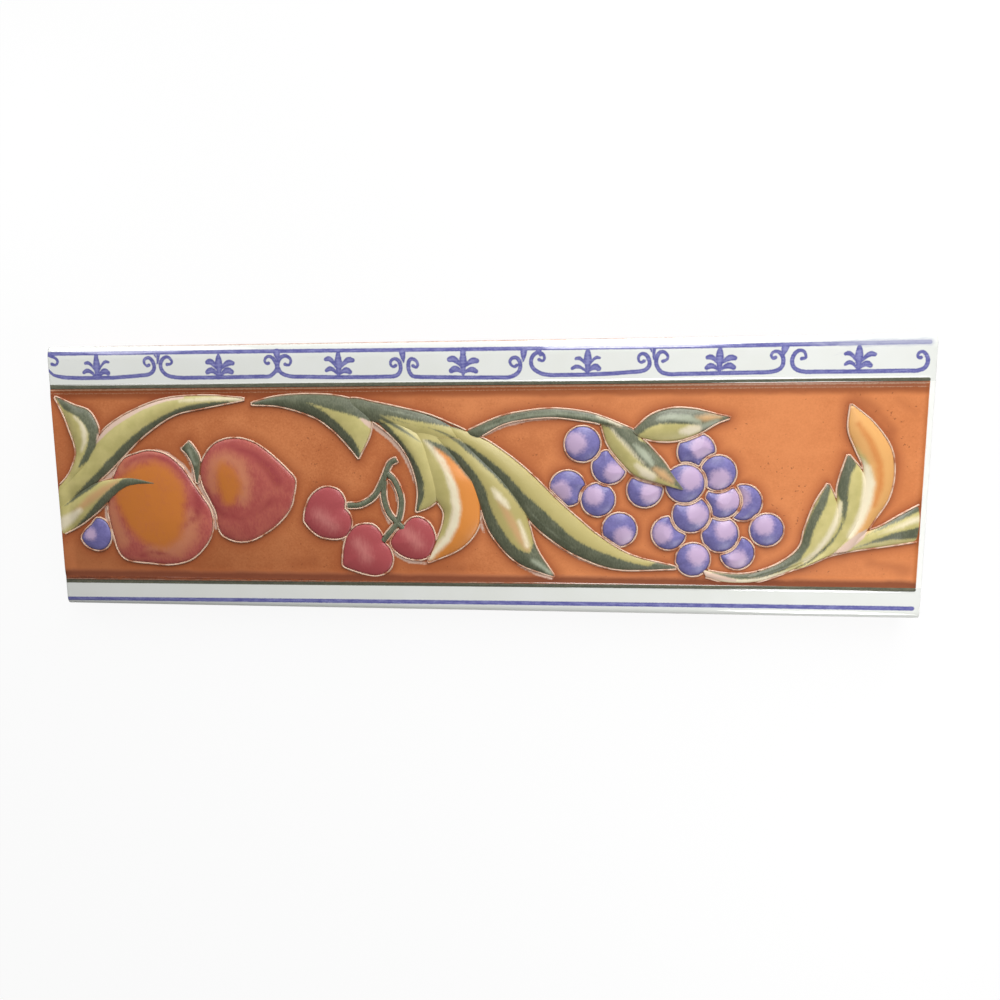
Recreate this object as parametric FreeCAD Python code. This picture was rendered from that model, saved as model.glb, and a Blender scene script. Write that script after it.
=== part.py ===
import FreeCAD, Part
import math
import os

os.makedirs("parts", exist_ok=True)

# A pressed and glazed border tile: one fired piece, lying on its back with the face up.
# Lengths are in millimetres. X runs along the border, Y towards its top edge, Z out of the face.

# The blank
TILE_LENGTH = 200.0
TILE_HEIGHT = 62.0
BODY_THICKNESS = 8.0
ARRIS_RADIUS = 1.6
CORNER_RADIUS = 0.8
END_ROLL = 2.0

# The frieze: a sunk ground between two plain bands, each band edged by a raised bead
TOP_BAND = 9.0
BOTTOM_BAND = 6.0
BEAD_WIDTH = 1.0
BEAD_RISE = 0.35
GROUND_DEPTH = 0.6

# The relief above the ground
EDGE_STEP = 0.3
LEAF_RISE = 1.3
STEM_RISE = 0.9
GRAPE_RISE = 1.7
PEACH_RISE = 1.9
CHERRY_RISE = 1.6
STALK_WIDTH = 1.25
NARROW_CROWN = 0.16
RELIEF_ROOT = 0.6
BLADE_SECTIONS = 9

# The keyed back
KEY_RIM = 6.0
KEY_RIBS = 5
KEY_RIB_WIDTH = 4.0
KEY_DEPTH = 1.0
KEY_DRAFT = 0.5

# The size of the drawing that the motifs' points were measured on
DRAWN_LENGTH = 200.0
DRAWN_TOP = 21.0
DRAWN_BOTTOM = -24.0

HALF_LENGTH = TILE_LENGTH / 2
HALF_HEIGHT = TILE_HEIGHT / 2
GROUND_Z = BODY_THICKNESS - GROUND_DEPTH
GROUND_TOP = HALF_HEIGHT - TOP_BAND - BEAD_WIDTH
GROUND_BOTTOM = -HALF_HEIGHT + BOTTOM_BAND + BEAD_WIDTH
TALLEST_RISE = max(LEAF_RISE, STEM_RISE, GRAPE_RISE, PEACH_RISE, CHERRY_RISE)
CREST_Z = GROUND_Z + TALLEST_RISE

ALONG = TILE_LENGTH / DRAWN_LENGTH
ACROSS = (GROUND_TOP - GROUND_BOTTOM) / (DRAWN_TOP - DRAWN_BOTTOM)

# Blades: the two edges of each leaf or stem, paired from its root to its tip
LEAVES = {
    "curled_leaf": (
        [(-101.5, -3.5), (-97.4, 0.7), (-95.2, 5.2), (-95.3, 8.2), (-96.1, 10.9), (-97.1, 14.2), (-98.9, 19.1)],
        [(-98.6, -3.2), (-93.6, 1.8), (-90.8, 5), (-89.4, 9), (-88.9, 12.1), (-90.9, 15.9), (-98.6, 19.2)],
    ),
    "long_leaf": (
        [(-102, -9.4), (-95.6, -4.4), (-91.1, -1.7), (-86.9, 1.6), (-83, 5.2), (-77.6, 10), (-70, 14.7),
         (-62, 16.5), (-52.7, 18.3)],
        [(-102, -4.5), (-97, 0), (-93.5, 3), (-90.6, 7), (-87.6, 11.4), (-81, 15.5), (-72, 18.6),
         (-62, 19.3), (-52.7, 18.5)],
    ),
    "lower_leaf": (
        [(-102, -14.9), (-95.6, -11.7), (-91.1, -8.6), (-87.5, -5.6), (-83.6, -2.7), (-80, -1.5), (-75.3, -1.3)],
        [(-102, -8.2), (-97.7, -5.3), (-93.5, -2.6), (-89.8, -1), (-85, -0.2), (-80.5, 0), (-75.3, -1.1)],
    ),
    "hooked_lobe": (
        [(-50.8, 17.1), (-45, 16.8), (-40, 15.6), (-35, 13.6), (-30.8, 10.3), (-27.5, 6.7), (-25.9, 4.6)],
        [(-50.8, 17.4), (-45, 18.9), (-37, 19.4), (-29, 18.7), (-23.5, 16.4), (-22.7, 11), (-25.7, 4.7)],
    ),
    "spine": (
        [(-33, 14.8), (-24, 13.5), (-16, 11), (-10, 9), (-5, 7.5), (1, 6)],
        [(-33, 17), (-27, 18), (-22, 17.5), (-16, 16.2), (-8, 14.1), (2, 9.5)],
    ),
    "inner_lobe": (
        [(-23.6, 13), (-19, 9.1), (-15, 4.6), (-12.8, 0.2), (-12, -4), (-12.6, -7.7)],
        [(-13.5, 14.6), (-9.6, 10), (-6.4, 5), (-4.7, -0.4), (-7.4, -5.4), (-12.4, -7.7)],
    ),
    "orange_lobe": (
        [(-12, 12.5), (-8.2, 6.4), (-5.6, 0.5), (-5.2, -4.5), (-5.8, -9.2), (-7.4, -13.4), (-10, -19.5)],
        [(-5, 12), (-2, 3.4), (1.3, -1.2), (2.6, -7.2), (1.6, -12), (-2.4, -16.4), (-9.8, -19.7)],
    ),
    "lower_lobe": (
        [(-8, 11), (-4, 4.3), (0, -0.2), (2.1, -5.6), (4.8, -12.8), (10.8, -19.4), (19.2, -22.6)],
        [(2, 9), (5, 3.8), (8.8, -1.2), (12.3, -6.2), (13.7, -10.7), (15.4, -16.2), (19.4, -22.5)],
    ),
    "trailing_lobe": (
        [(-5, 9.4), (0.6, 6.1), (6, 0.7), (9.6, -4.1), (14.4, -10.4), (20, -15), (26, -18.4), (34, -20.8),
         (46.8, -20.4)],
        [(-1, 11), (4.8, 7.9), (10.2, 4), (15, 0), (20, -4.8), (25, -9.3), (30, -13.4), (37, -17.5),
         (46.8, -20.1)],
    ),
    "hanging_leaf": (
        [(29.6, 12.2), (31.2, 7.6), (34.2, 3.7), (37.5, 0.6), (42, -0.8), (47.5, -2.3)],
        [(36, 11.2), (39.6, 8.2), (41.8, 5.9), (43.6, 3.9), (45.6, 1), (47.8, -2.1)],
    ),
    "side_leaf": (
        [(38.2, 9.3), (42, 8.4), (46.5, 8.5), (51, 10), (54.9, 12.3), (57.5, 13.3)],
        [(36.6, 10.6), (40.5, 14.1), (45, 15.6), (50, 15.4), (54.9, 14.2), (57.6, 13.5)],
    ),
    "first_point": (
        [(65.5, -22.6), (74, -18.2), (78.8, -14.2), (81.2, -9.8), (81.4, -6), (79.4, -1.3)],
        [(62, -21.9), (69, -19.2), (73.5, -15.5), (74.7, -11), (76.5, -5.6), (79.2, -1.2)],
    ),
    "second_point": (
        [(77.5, -20), (83, -15.5), (86.2, -10), (87.2, -5), (87, 0.5), (83.3, 5.1)],
        [(73, -20.2), (78.6, -16.4), (81.6, -11.6), (82.5, -6.8), (81.5, -1.4), (83, 5.2)],
    ),
    "third_point": (
        [(86, -16.2), (89.4, -8.9), (92.1, -4.1), (92.9, 1.6), (91.8, 7), (88, 12.2), (83.3, 16)],
        [(80.4, -16.4), (84.6, -10.4), (86.4, -3), (86.3, 2.5), (84.6, 6.4), (82.9, 10.9), (83.1, 16.1)],
    ),
    "running_leaf": (
        [(75, -20), (79.5, -18.6), (84, -16.8), (90, -15.6), (96, -14.4), (103, -13)],
        [(73.5, -18.6), (78.5, -15.8), (84.5, -12.5), (90, -10.7), (95, -7.7), (103, -3)],
    ),
}

STEMS = {
    "vine": (
        [(0.6, 8.4), (7.5, 12.2), (13, 13.4), (19, 13.8), (25, 13.1), (30, 12.1), (39.4, 8.9)],
        [(-1.6, 10.3), (6.8, 13.9), (13, 15.2), (19, 15.7), (25, 15.1), (30, 13.8), (39.8, 9.7)],
    ),
    "branch": (
        [(53.6, -22.3), (58.5, -23.5), (64.8, -23.1), (70.5, -21.7), (77, -19.3)],
        [(52.8, -20.6), (58, -21.4), (63, -21.5), (69, -20), (76, -17.4)],
    ),
    "stub": (
        [(-66.9, 8.6), (-66.3, 4.3), (-65.6, 1.5), (-65.6, -1.4)],
        [(-66.4, 8.8), (-64.2, 5.4), (-64.3, 1.5), (-64.9, -1.6)],
    ),
}

# Cherry stalks: the middle line of each, from its root
STALKS = [
    [(-17, 4.3), (-18.9, 2.7), (-20.1, -0.2), (-22.3, -4.1), (-26.2, -6.5), (-31, -6.8)],
    [(-19.9, -1), (-20, -4.5), (-18.9, -8.3), (-16, -11.4), (-14.5, -12.4)],
    [(-19.4, 1.4), (-17.5, -0.8), (-16, -5), (-16.8, -9.8), (-19.3, -13.2), (-22, -16)],
]

# Domed fruit: the outline of each
PEACHES = [
    [(-88.3, -10), (-86.6, -16.7), (-83, -20.1), (-75, -21), (-67.4, -19.5), (-62.6, -15.2), (-61, -10),
     (-62.3, -5.3), (-66.5, 0.4), (-72.5, 5.7), (-80, 5.7), (-86, 1)],
    [(-64.3, -0.8), (-63.4, -6), (-62.4, -12), (-55, -15.3), (-47, -11.7), (-42.5, -6.8), (-41.2, 0),
     (-45, 4), (-52.1, 8.8), (-59.6, 8.5), (-63.8, 3.6)],
]
CHERRIES = [
    [(-39.4, -10), (-37, -12.9), (-32.5, -14.4), (-28.7, -12.8), (-28.3, -8.8), (-29.7, -4.5), (-33.1, -2),
     (-37.8, -4.6)],
    [(-30.2, -18), (-29.4, -21.2), (-23, -23), (-19, -21.2), (-18.6, -17.6), (-21, -12.6), (-25, -10.7),
     (-29, -13.3)],
    [(-18.6, -14.9), (-16.6, -18), (-12.4, -19.1), (-9, -16.9), (-8.1, -13.4), (-11, -9.3), (-15, -10.2),
     (-17.8, -12.6)],
    [(-95.3, -14.1), (-93.2, -17.2), (-90, -17.6), (-87.7, -15), (-88.3, -11.4), (-91.1, -9.8)],
]

# Grapes: the middle and the radius of each, with the lowest in the bunch first
GRAPES = [
    (25.6, 7.8, 4.1), (31.6, 2.6, 3.9), (22.4, -2.2, 4.1), (29.2, -4.8, 3.8), (34.1, -11.6, 3.9),
    (39.6, -2.5, 4.0), (50.7, 6, 4.1), (55.6, 1.3, 3.9), (48.4, -1.1, 4.3), (49.9, -8, 4.1),
    (56.7, -5, 3.8), (61.2, -5.3, 4.1), (45.1, -12.3, 3.8), (56.4, -12.5, 4.0), (66.5, -11.4, 3.7),
    (60.3, -16.7, 3.7), (50.6, -18.3, 3.8),
]


def drawn(point, z):
    """A point of the motifs' drawing, laid on the tile's frieze at height z."""
    x, y = point
    return FreeCAD.Vector(x * ALONG, GROUND_BOTTOM + (y - DRAWN_BOTTOM) * ACROSS, z)


def arc(start, middle, end):
    """A circular edge through three points."""
    return Part.Arc(start, middle, end).toShape()


def long_section():
    """The section across the border: rounded edges, bands, beads and the sunk ground."""
    left, right = -HALF_HEIGHT, HALF_HEIGHT
    top = BODY_THICKNESS
    inset = ARRIS_RADIUS * (1 - math.sqrt(0.5))
    bead_bottom = left + BOTTOM_BAND
    bead_top = right - TOP_BAND

    def at(y, z):
        return FreeCAD.Vector(-HALF_LENGTH, y, z)

    def bead(outer, inner):
        """The raised line that closes a band; its inner foot stands on the sunk ground."""
        middle = (outer + inner) / 2
        return [
            arc(at(outer, top), at(middle, top + BEAD_RISE), at(inner, top)),
            Part.makeLine(at(inner, top), at(inner, GROUND_Z)),
        ]

    lower = bead(bead_bottom, GROUND_BOTTOM)
    upper = bead(bead_top, GROUND_TOP)
    edges = [
        Part.makeLine(at(left, 0), at(left, top - ARRIS_RADIUS)),
        arc(at(left, top - ARRIS_RADIUS), at(left + inset, top - inset), at(left + ARRIS_RADIUS, top)),
        Part.makeLine(at(left + ARRIS_RADIUS, top), at(bead_bottom, top)),
        *lower,
        Part.makeLine(at(GROUND_BOTTOM, GROUND_Z), at(GROUND_TOP, GROUND_Z)),
        *upper,
        Part.makeLine(at(bead_top, top), at(right - ARRIS_RADIUS, top)),
        arc(at(right - ARRIS_RADIUS, top), at(right - inset, top - inset), at(right, top - ARRIS_RADIUS)),
        Part.makeLine(at(right, top - ARRIS_RADIUS), at(right, 0)),
        Part.makeLine(at(right, 0), at(left, 0)),
    ]
    wire = Part.Wire(Part.__sortEdges__(edges))
    return Part.Face(wire).extrude(FreeCAD.Vector(TILE_LENGTH, 0, 0))


def envelope():
    """All that the press leaves: ends rolled off towards the face, and soft corners."""
    end, shoulder = HALF_LENGTH, BODY_THICKNESS - ARRIS_RADIUS

    def at(x, z):
        return FreeCAD.Vector(x, -HALF_HEIGHT - 1, z)

    climb = CREST_Z - shoulder
    corners = [
        (at(-end, shoulder), at(-end + 0.3 * END_ROLL, shoulder + 0.7 * climb), at(-end + END_ROLL, CREST_Z)),
        (at(end - END_ROLL, CREST_Z), at(end - 0.3 * END_ROLL, shoulder + 0.7 * climb), at(end, shoulder)),
    ]
    edges = [
        Part.makeLine(at(-end, 0), at(-end, shoulder)),
        arc(*corners[0]),
        Part.makeLine(corners[0][2], corners[1][0]),
        arc(*corners[1]),
        Part.makeLine(at(end, shoulder), at(end, 0)),
        Part.makeLine(at(end, 0), at(-end, 0)),
    ]
    side_view = Part.Face(Part.Wire(edges)).extrude(FreeCAD.Vector(0, TILE_HEIGHT + 2, 0))
    plan = Part.makeBox(TILE_LENGTH, TILE_HEIGHT, CREST_Z, FreeCAD.Vector(-HALF_LENGTH, -HALF_HEIGHT, 0))
    uprights = [edge for edge in plan.Edges if abs(edge.tangentAt(edge.FirstParameter).z) > 0.99]
    return side_view.common(plan.makeFillet(CORNER_RADIUS, uprights))


def blade_section(left, right, rise):
    """One section of a leaf or stem: a root in the body, low steps at the edges and a crown."""
    width = left.distanceToPoint(right)
    crown = EDGE_STEP + min(rise - EDGE_STEP, NARROW_CROWN * width)
    up = FreeCAD.Vector(0, 0, 1)
    step_left, step_right = left + up * EDGE_STEP, right + up * EDGE_STEP
    root_left, root_right = left - up * RELIEF_ROOT, right - up * RELIEF_ROOT
    middle = (left + right) * 0.5 + up * crown
    return Part.Wire([
        Part.makeLine(root_left, step_left),
        arc(step_left, middle, step_right),
        Part.makeLine(step_right, root_right),
        Part.makeLine(root_right, root_left),
    ])


def edge_curve(points):
    """One edge of a blade, as a smooth curve at the height of the ground."""
    curve = Part.BSplineCurve()
    curve.interpolate([drawn(point, GROUND_Z) for point in points])
    return curve


def blade(left_edge, right_edge, rise):
    """A crowned leaf or stem, lofted through even sections between its two edges."""
    edges = [edge_curve(left_edge), edge_curve(right_edge)]
    sections = []
    for station in range(BLADE_SECTIONS + 1):
        share = station / BLADE_SECTIONS
        left, right = [
            edge.value(edge.FirstParameter + share * (edge.LastParameter - edge.FirstParameter))
            for edge in edges
        ]
        sections.append(blade_section(left, right, rise))
    return Part.makeLoft(sections, True, True)


def stalk(middle_line):
    """A thin stalk of even width along its middle line."""
    left, right = [], []
    for index, (x, y) in enumerate(middle_line):
        before = middle_line[max(index - 1, 0)]
        after = middle_line[min(index + 1, len(middle_line) - 1)]
        run_x, run_y = after[0] - before[0], after[1] - before[1]
        half = STALK_WIDTH / 2 / math.hypot(run_x, run_y)
        left.append((x - run_y * half, y + run_x * half))
        right.append((x + run_y * half, y - run_x * half))
    return blade(left, right, STEM_RISE)


def ball(centre, reach, cap, crest):
    """A ball that shows above the ground as a cap of the given reach and height, up to the crest."""
    radius = (reach ** 2 + cap ** 2) / (2 * cap)
    middle = FreeCAD.Vector(centre.x, centre.y, crest - radius)
    return Part.makeSphere(radius, middle, FreeCAD.Vector(1, 0, 0))


def fruit(outline, rise):
    """A peach or cherry: its own outline cut from the cap of a large ball, so its rim is a low step."""
    points = [drawn(point, GROUND_Z - RELIEF_ROOT) for point in outline]
    rim = Part.BSplineCurve()
    rim.interpolate(Points=points, PeriodicFlag=True)
    column = Part.Face(Part.Wire(rim.toShape())).extrude(FreeCAD.Vector(0, 0, RELIEF_ROOT + rise))
    centre = sum(points, FreeCAD.Vector()) * (1 / len(points))
    reach = max(centre.distanceToPoint(point) for point in points)
    return column.common(ball(centre, reach, rise - EDGE_STEP, GROUND_Z + rise))


def grape(x, y, radius):
    """A grape: the cap of a small ball, rooted in the ground."""
    centre = drawn((x, y), GROUND_Z)
    reach = radius * (ALONG + ACROSS) / 2
    side = 4 * reach
    corner = FreeCAD.Vector(centre.x - side / 2, centre.y - side / 2, GROUND_Z - RELIEF_ROOT)
    above_root = Part.makeBox(side, side, RELIEF_ROOT + GRAPE_RISE, corner)
    return above_root.common(ball(centre, reach, GRAPE_RISE, GROUND_Z + GRAPE_RISE))


def keyed_back():
    """The shallow channels between the ribs of the back, wider at the mouth to leave the press."""
    field = TILE_HEIGHT - 2 * KEY_RIM
    channels = KEY_RIBS + 1
    width = (field - KEY_RIBS * KEY_RIB_WIDTH) / channels
    cuts = []
    for index in range(channels):
        low = -HALF_HEIGHT + KEY_RIM + index * (width + KEY_RIB_WIDTH)
        end = -HALF_LENGTH + KEY_RIM
        outline = [
            FreeCAD.Vector(end, low, 0),
            FreeCAD.Vector(end, low + width, 0),
            FreeCAD.Vector(end, low + width - KEY_DRAFT, KEY_DEPTH),
            FreeCAD.Vector(end, low + KEY_DRAFT, KEY_DEPTH),
            FreeCAD.Vector(end, low, 0),
        ]
        face = Part.Face(Part.makePolygon(outline))
        cuts.append(face.extrude(FreeCAD.Vector(TILE_LENGTH - 2 * KEY_RIM, 0, 0)))
    return Part.makeCompound(cuts)


def relief():
    """Every motif of the frieze, as solids rooted in the ground."""
    solids = []
    for left, right in LEAVES.values():
        solids.append(blade(left, right, LEAF_RISE))
    for left, right in STEMS.values():
        solids.append(blade(left, right, STEM_RISE))
    for line in STALKS:
        solids.append(stalk(line))
    for outline in PEACHES:
        solids.append(fruit(outline, PEACH_RISE))
    for outline in CHERRIES:
        solids.append(fruit(outline, CHERRY_RISE))
    for x, y, radius in GRAPES:
        solids.append(grape(x, y, radius))
    return solids


def border_tile():
    """The whole tile, pressed as one piece."""
    blank = long_section().cut(keyed_back())
    pressed = blank.fuse(relief())
    return pressed.common(envelope()).removeSplitter()


tile = border_tile()
tile.exportStep("parts/border_tile.step")
print("border_tile", tile.isValid(), len(tile.Solids), "solid", round(tile.Volume), "mm3")
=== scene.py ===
# %% [markdown]
# # A glazed border tile, dressed in Blender
# The tile is one pressed and fired piece. Its plain shape comes from the packed CAD model, and this
# lesson gives it its finish: painted glazes, fine raised lines and bare biscuit. The frame is loaded
# first, because every new piece is measured from it.

# %% Load the frame
import math

import bmesh
import bpy
import numpy as np
from mathutils import Matrix, Vector


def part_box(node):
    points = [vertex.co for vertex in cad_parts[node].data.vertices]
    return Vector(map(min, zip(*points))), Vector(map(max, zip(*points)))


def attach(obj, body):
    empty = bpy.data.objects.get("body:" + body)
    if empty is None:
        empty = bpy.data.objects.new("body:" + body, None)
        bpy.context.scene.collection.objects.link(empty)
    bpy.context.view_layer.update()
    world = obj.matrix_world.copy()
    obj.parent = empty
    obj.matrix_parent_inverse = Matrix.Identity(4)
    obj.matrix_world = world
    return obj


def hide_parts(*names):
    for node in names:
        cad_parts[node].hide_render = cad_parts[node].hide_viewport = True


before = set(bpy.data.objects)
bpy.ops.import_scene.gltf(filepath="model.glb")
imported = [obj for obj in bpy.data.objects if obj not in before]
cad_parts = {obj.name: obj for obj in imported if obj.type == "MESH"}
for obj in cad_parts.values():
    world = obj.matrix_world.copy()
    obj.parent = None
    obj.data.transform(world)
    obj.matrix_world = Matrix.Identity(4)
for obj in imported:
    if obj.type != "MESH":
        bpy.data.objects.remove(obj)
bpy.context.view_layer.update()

MM = 0.001
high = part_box("border_tile")[1]
HALF_LENGTH, HALF_HEIGHT, CREST = high.x / MM, high.y / MM, high.z / MM
print("the tile is", round(2 * HALF_LENGTH), "by", round(2 * HALF_HEIGHT), "mm, crest at", round(CREST, 2))

# %% [markdown]
# ## The heights of the face
# A relief tile is pressed in a die, so its face has only a few levels: the plain bands, a bead along
# each band, the sunk ground of the frieze and the motifs standing on it. They are named once here.

# %% Levels of the face, in millimetres
BAND = 8.0
GROUND = 7.4
BEAD = 0.1
TOP_BEAD = (21.0, 22.0)
BOTTOM_BEAD = (-25.0, -24.0)
UNDER_GLAZE = 5.8
SUNK = 6.3
WALL_TOP = 6.3
print("the frieze lies", round(BAND - GROUND, 2), "mm below the bands")

# %% [markdown]
# ## The camera
# The photograph looks almost straight down from close by, so its far ends taper. The camera stands
# where the four corners of the face fall on their places in the picture: a short lens, near the tile.

# %% Camera
CAMERA_PLACE = (20.4, 14.1, 162.2)
CAMERA_TURN = (-7.02, 4.92, -0.34)
LENS = 24.59
camera_data = bpy.data.cameras.new("camera")
camera_data.sensor_width = 36
camera_data.lens = LENS
camera_data.clip_start = 0.01
camera = bpy.data.objects.new("camera", camera_data)
camera.location = Vector(CAMERA_PLACE) * MM
camera.rotation_euler = [math.radians(angle) for angle in CAMERA_TURN]
bpy.context.scene.collection.objects.link(camera)
bpy.context.scene.camera = camera
bpy.context.scene.view_settings.view_transform = "Standard"
print("the camera stands", CAMERA_PLACE[2], "mm above the table")

# %% [markdown]
# ## The light
# In the photograph a window lights the tile from the top right. It makes the far end darker, and
# the rounded top edge catches it as a long white gleam. One tall upright lamp does both, because
# only a surface that leans away can mirror it. Two weak lamps and an even world fill the shadows,
# so that a colour renders about as it is written.

# %% Lamp and world
def lamp(name, place, aim, size, power):
    """A soft lamp that faces a point. Place, aim and size are in millimetres."""
    light = bpy.data.lights.new(name, "AREA")
    light.shape = "RECTANGLE"
    light.size, light.size_y = size[0] * MM, size[1] * MM
    light.energy = power
    holder = bpy.data.objects.new(name, light)
    holder.location = Vector(place) * MM
    holder.rotation_euler = (Vector(aim) - Vector(place)).to_track_quat("-Z", "Y").to_euler()
    bpy.context.scene.collection.objects.link(holder)


lamp("window", (95, 250, 365), (95, 0, 365), (181, 670), 3.1)
lamp("left_pane", (-130, 90, 70), (-70, 10, 8), (60, 60), 0.04)
lamp("room_side", (130, -120, 130), (60, -10, 8), (60, 60), 0.13)
world = bpy.data.worlds.new("room")
world.use_nodes = True
sky = world.node_tree.nodes["Background"].inputs
sky["Color"].default_value, sky["Strength"].default_value = (1, 1, 1, 1), 0.11
bpy.context.scene.world = world

# %% [markdown]
# ## Shader maths as plain sums
# A finish is worked out from masks, and a mask is easier to read as a sum than as a heap of nodes.
# The class Number stands for a socket: adding or multiplying it adds the Math node.

# %% Colours and Numbers
def colour(red, green, blue):
    """A colour as seen on a screen, from 0 to 255, as the linear values that a node takes."""
    linear = [
        part / 255 / 12.92 if part / 255 <= 0.04045 else ((part / 255 + 0.055) / 1.055) ** 2.4
        for part in (red, green, blue)
    ]
    return (*linear, 1.0)


class Number:
    """A socket that holds a number. A sum of Numbers adds its own Math nodes."""

    def __init__(self, finish, socket):
        self.finish, self.socket = finish, socket

    def math(self, operation, first, second):
        return self.finish.node("Math", {"operation": operation}, {0: first, 1: second})

    def __add__(self, other):
        return self.math("ADD", self, other)

    def __radd__(self, other):
        return self.math("ADD", other, self)

    def __sub__(self, other):
        return self.math("SUBTRACT", self, other)

    def __rsub__(self, other):
        return self.math("SUBTRACT", other, self)

    def __mul__(self, other):
        return self.math("MULTIPLY", self, other)

    def __rmul__(self, other):
        return self.math("MULTIPLY", other, self)


print("a screen red of 200 is", round(colour(200, 0, 0)[0], 3), "in linear light")

# %% [markdown]
# ## One finish, layer by layer
# A glazed tile shows one coat over another. The class Finish keeps one material and lays colours
# over what it shows so far. Every other kind of node comes from its one method, node.

# %% Finish
class Finish:
    """One material: its Principled shader, and the nodes that feed it."""

    def __init__(self, name, **constants):
        self.material = bpy.data.materials.new(name)
        self.material.use_nodes = True
        self.tree = self.material.node_tree
        self.shader = self.tree.nodes["Principled BSDF"]
        self.shown = None
        for socket, value in constants.items():
            self.shader.inputs[socket.replace("_", " ")].default_value = value

    def node(self, kind, settings=None, sockets=None, output=0):
        """A node of one kind, with its settings made first and then its sockets filled or linked."""
        made = self.tree.nodes.new("ShaderNode" + kind)
        for name, value in (settings or {}).items():
            setattr(made, name, value)
        for name, value in (sockets or {}).items():
            if isinstance(value, Number):
                self.tree.links.new(value.socket, made.inputs[name])
            else:
                made.inputs[name].default_value = value
        return Number(self, made.outputs[output])

    def feed(self, socket, value):
        """Links a varying value to one of the shader's own sockets."""
        self.tree.links.new(value.socket, self.shader.inputs[socket])

    def depth(self, attribute):
        """How far inside a painted patch a point is, in millimetres, as stored on the mesh."""
        return self.node("Attribute", {"attribute_name": attribute}, {}, "Fac")

    def ramp(self, value, start, end, most=1.0):
        """0 before start, the most after end, and smooth between."""
        limits = {0: value, 1: start, 2: end, 4: most}
        return self.node("MapRange", {"interpolation_type": "SMOOTHSTEP"}, limits)

    def mix(self, mask, below, above):
        """One colour laid over another where the mask is 1. A plain colour is given as seen on a screen."""
        below, above = [colour(*shade) if isinstance(shade, tuple) else shade for shade in (below, above)]
        return self.node("Mix", {"data_type": "RGBA"}, {0: mask, 6: below, 7: above}, 2)

    def lay(self, depth, start, end, shade, most=1.0):
        """Lays a colour over what the finish shows so far, where a depth passes from start to end."""
        self.shown = self.mix(self.ramp(depth, start, end, most), self.shown, shade)

    def noise(self, grain, detail=3.0, stretch=(1, 1, 1), turn=0.0, rough=0.5):
        """Cloudy noise from -0.5 to 0.5 whose lumps are about one grain across, in millimetres."""
        place = self.node("TexCoord", {}, {}, "Object")
        scale = [share / (grain * MM) for share in stretch]
        laid = self.node("Mapping", {}, {0: place, 2: (0, 0, math.radians(turn)), 3: scale})
        cloud = self.node("TexNoise", {}, {0: laid, "Scale": 1.0, "Detail": detail, "Roughness": rough})
        return cloud - 0.5

    def bump(self, height, distance):
        """Feeds small bumps, in millimetres, to the shader's normal."""
        normal = self.node("Bump", {}, {"Height": height, "Distance": distance * MM, "Strength": 1.0})
        self.feed("Normal", normal)


print("a Finish can", ", ".join(name for name in vars(Finish) if not name.startswith("_")))

# %% [markdown]
# ## Painted patches
# The decorator's brush left patches with soft, streaky edges. Each patch is drawn here as an
# outline, or as a brush stroke whose points carry a width. Every corner of a mesh keeps how deep
# inside the patch it lies, in millimetres. The shader cuts that depth at zero, so an edge stays
# crisp even where the mesh is coarse, and a little noise makes it look brushed.

# %% Smooth lines
def smooth_line(points, step, closed=False):
    """An even run of points along a smooth curve through the given ones."""
    points = np.array(points, float)
    if closed:
        ahead = np.vstack([points[-1:], points, points[:2]])
    else:
        ahead = np.vstack([2 * points[:1] - points[1:2], points, 2 * points[-1:] - points[-2:-1]])
    fine = []
    for a, b, c, d in zip(ahead, ahead[1:], ahead[2:], ahead[3:]):
        for t in np.linspace(0, 1, 12, endpoint=False):
            fine.append(0.5 * (2 * b + (c - a) * t + (2 * a - 5 * b + 4 * c - d) * t ** 2
                               + (3 * b - a - 3 * c + d) * t ** 3))
    fine.append(ahead[-2])
    fine = np.array(fine)
    run = np.concatenate([[0], np.cumsum(np.linalg.norm(np.diff(fine[:, :2], axis=0), axis=1))])
    count = max(int(round(run[-1] / step)), 4)
    stops = np.linspace(0, run[-1], count + 1)
    line = np.stack([np.interp(stops, run, fine[:, axis]) for axis in range(fine.shape[1])], 1)
    return line[:-1] if closed else line


print("a line over a hump has", len(smooth_line([(0, 0), (5, 2), (10, 0)], 1)), "points about 1 mm apart")

# %% Depths inside patches and strokes
def to_segments(places, starts, ends):
    """For each place and each segment: the distance, and the share along the segment."""
    run = ends - starts
    length = np.maximum((run ** 2).sum(1), 1e-9)
    share = np.clip(((places[:, None] - starts) * run).sum(2) / length, 0, 1)
    near = starts + share[..., None] * run
    return np.linalg.norm(places[:, None] - near, axis=2), share


CHUNK = 4000


def in_chunks(measure):
    """Lets a measure that compares every place with every segment work on a few places at a time."""
    def measured(places, line):
        parts = np.array_split(places, len(places) // CHUNK + 1)
        return np.concatenate([measure(part, line) for part in parts])
    return measured


@in_chunks
def stroke_depth(places, line):
    """How deep each place lies inside a brush stroke of points (x, y, width)."""
    line = np.array(line, float)
    if len(line) == 1:
        line = np.vstack([line, line])
    distance, share = to_segments(places, line[:-1, :2], line[1:, :2])
    half = (line[:-1, 2] + share * (line[1:, 2] - line[:-1, 2])) / 2
    return (half - distance).max(1)


@in_chunks
def patch_depth(places, outline):
    """How deep each place lies inside a closed outline; outside it the depth is below zero."""
    outline = np.array(outline, float)[:, :2]
    ends = np.roll(outline, -1, 0)
    distance = to_segments(places, outline, ends)[0].min(1)
    x, y = places[:, 0, None], places[:, 1, None]
    rises = (outline[:, 1] > y) != (ends[:, 1] > y)
    with np.errstate(divide="ignore", invalid="ignore"):
        slope = (ends[:, 0] - outline[:, 0]) / (ends[:, 1] - outline[:, 1])
        cross = outline[:, 0] + (y - outline[:, 1]) * slope
    inside = (rises & (x < cross)).sum(1) % 2 == 1
    return np.where(inside, distance, -distance)


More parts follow.
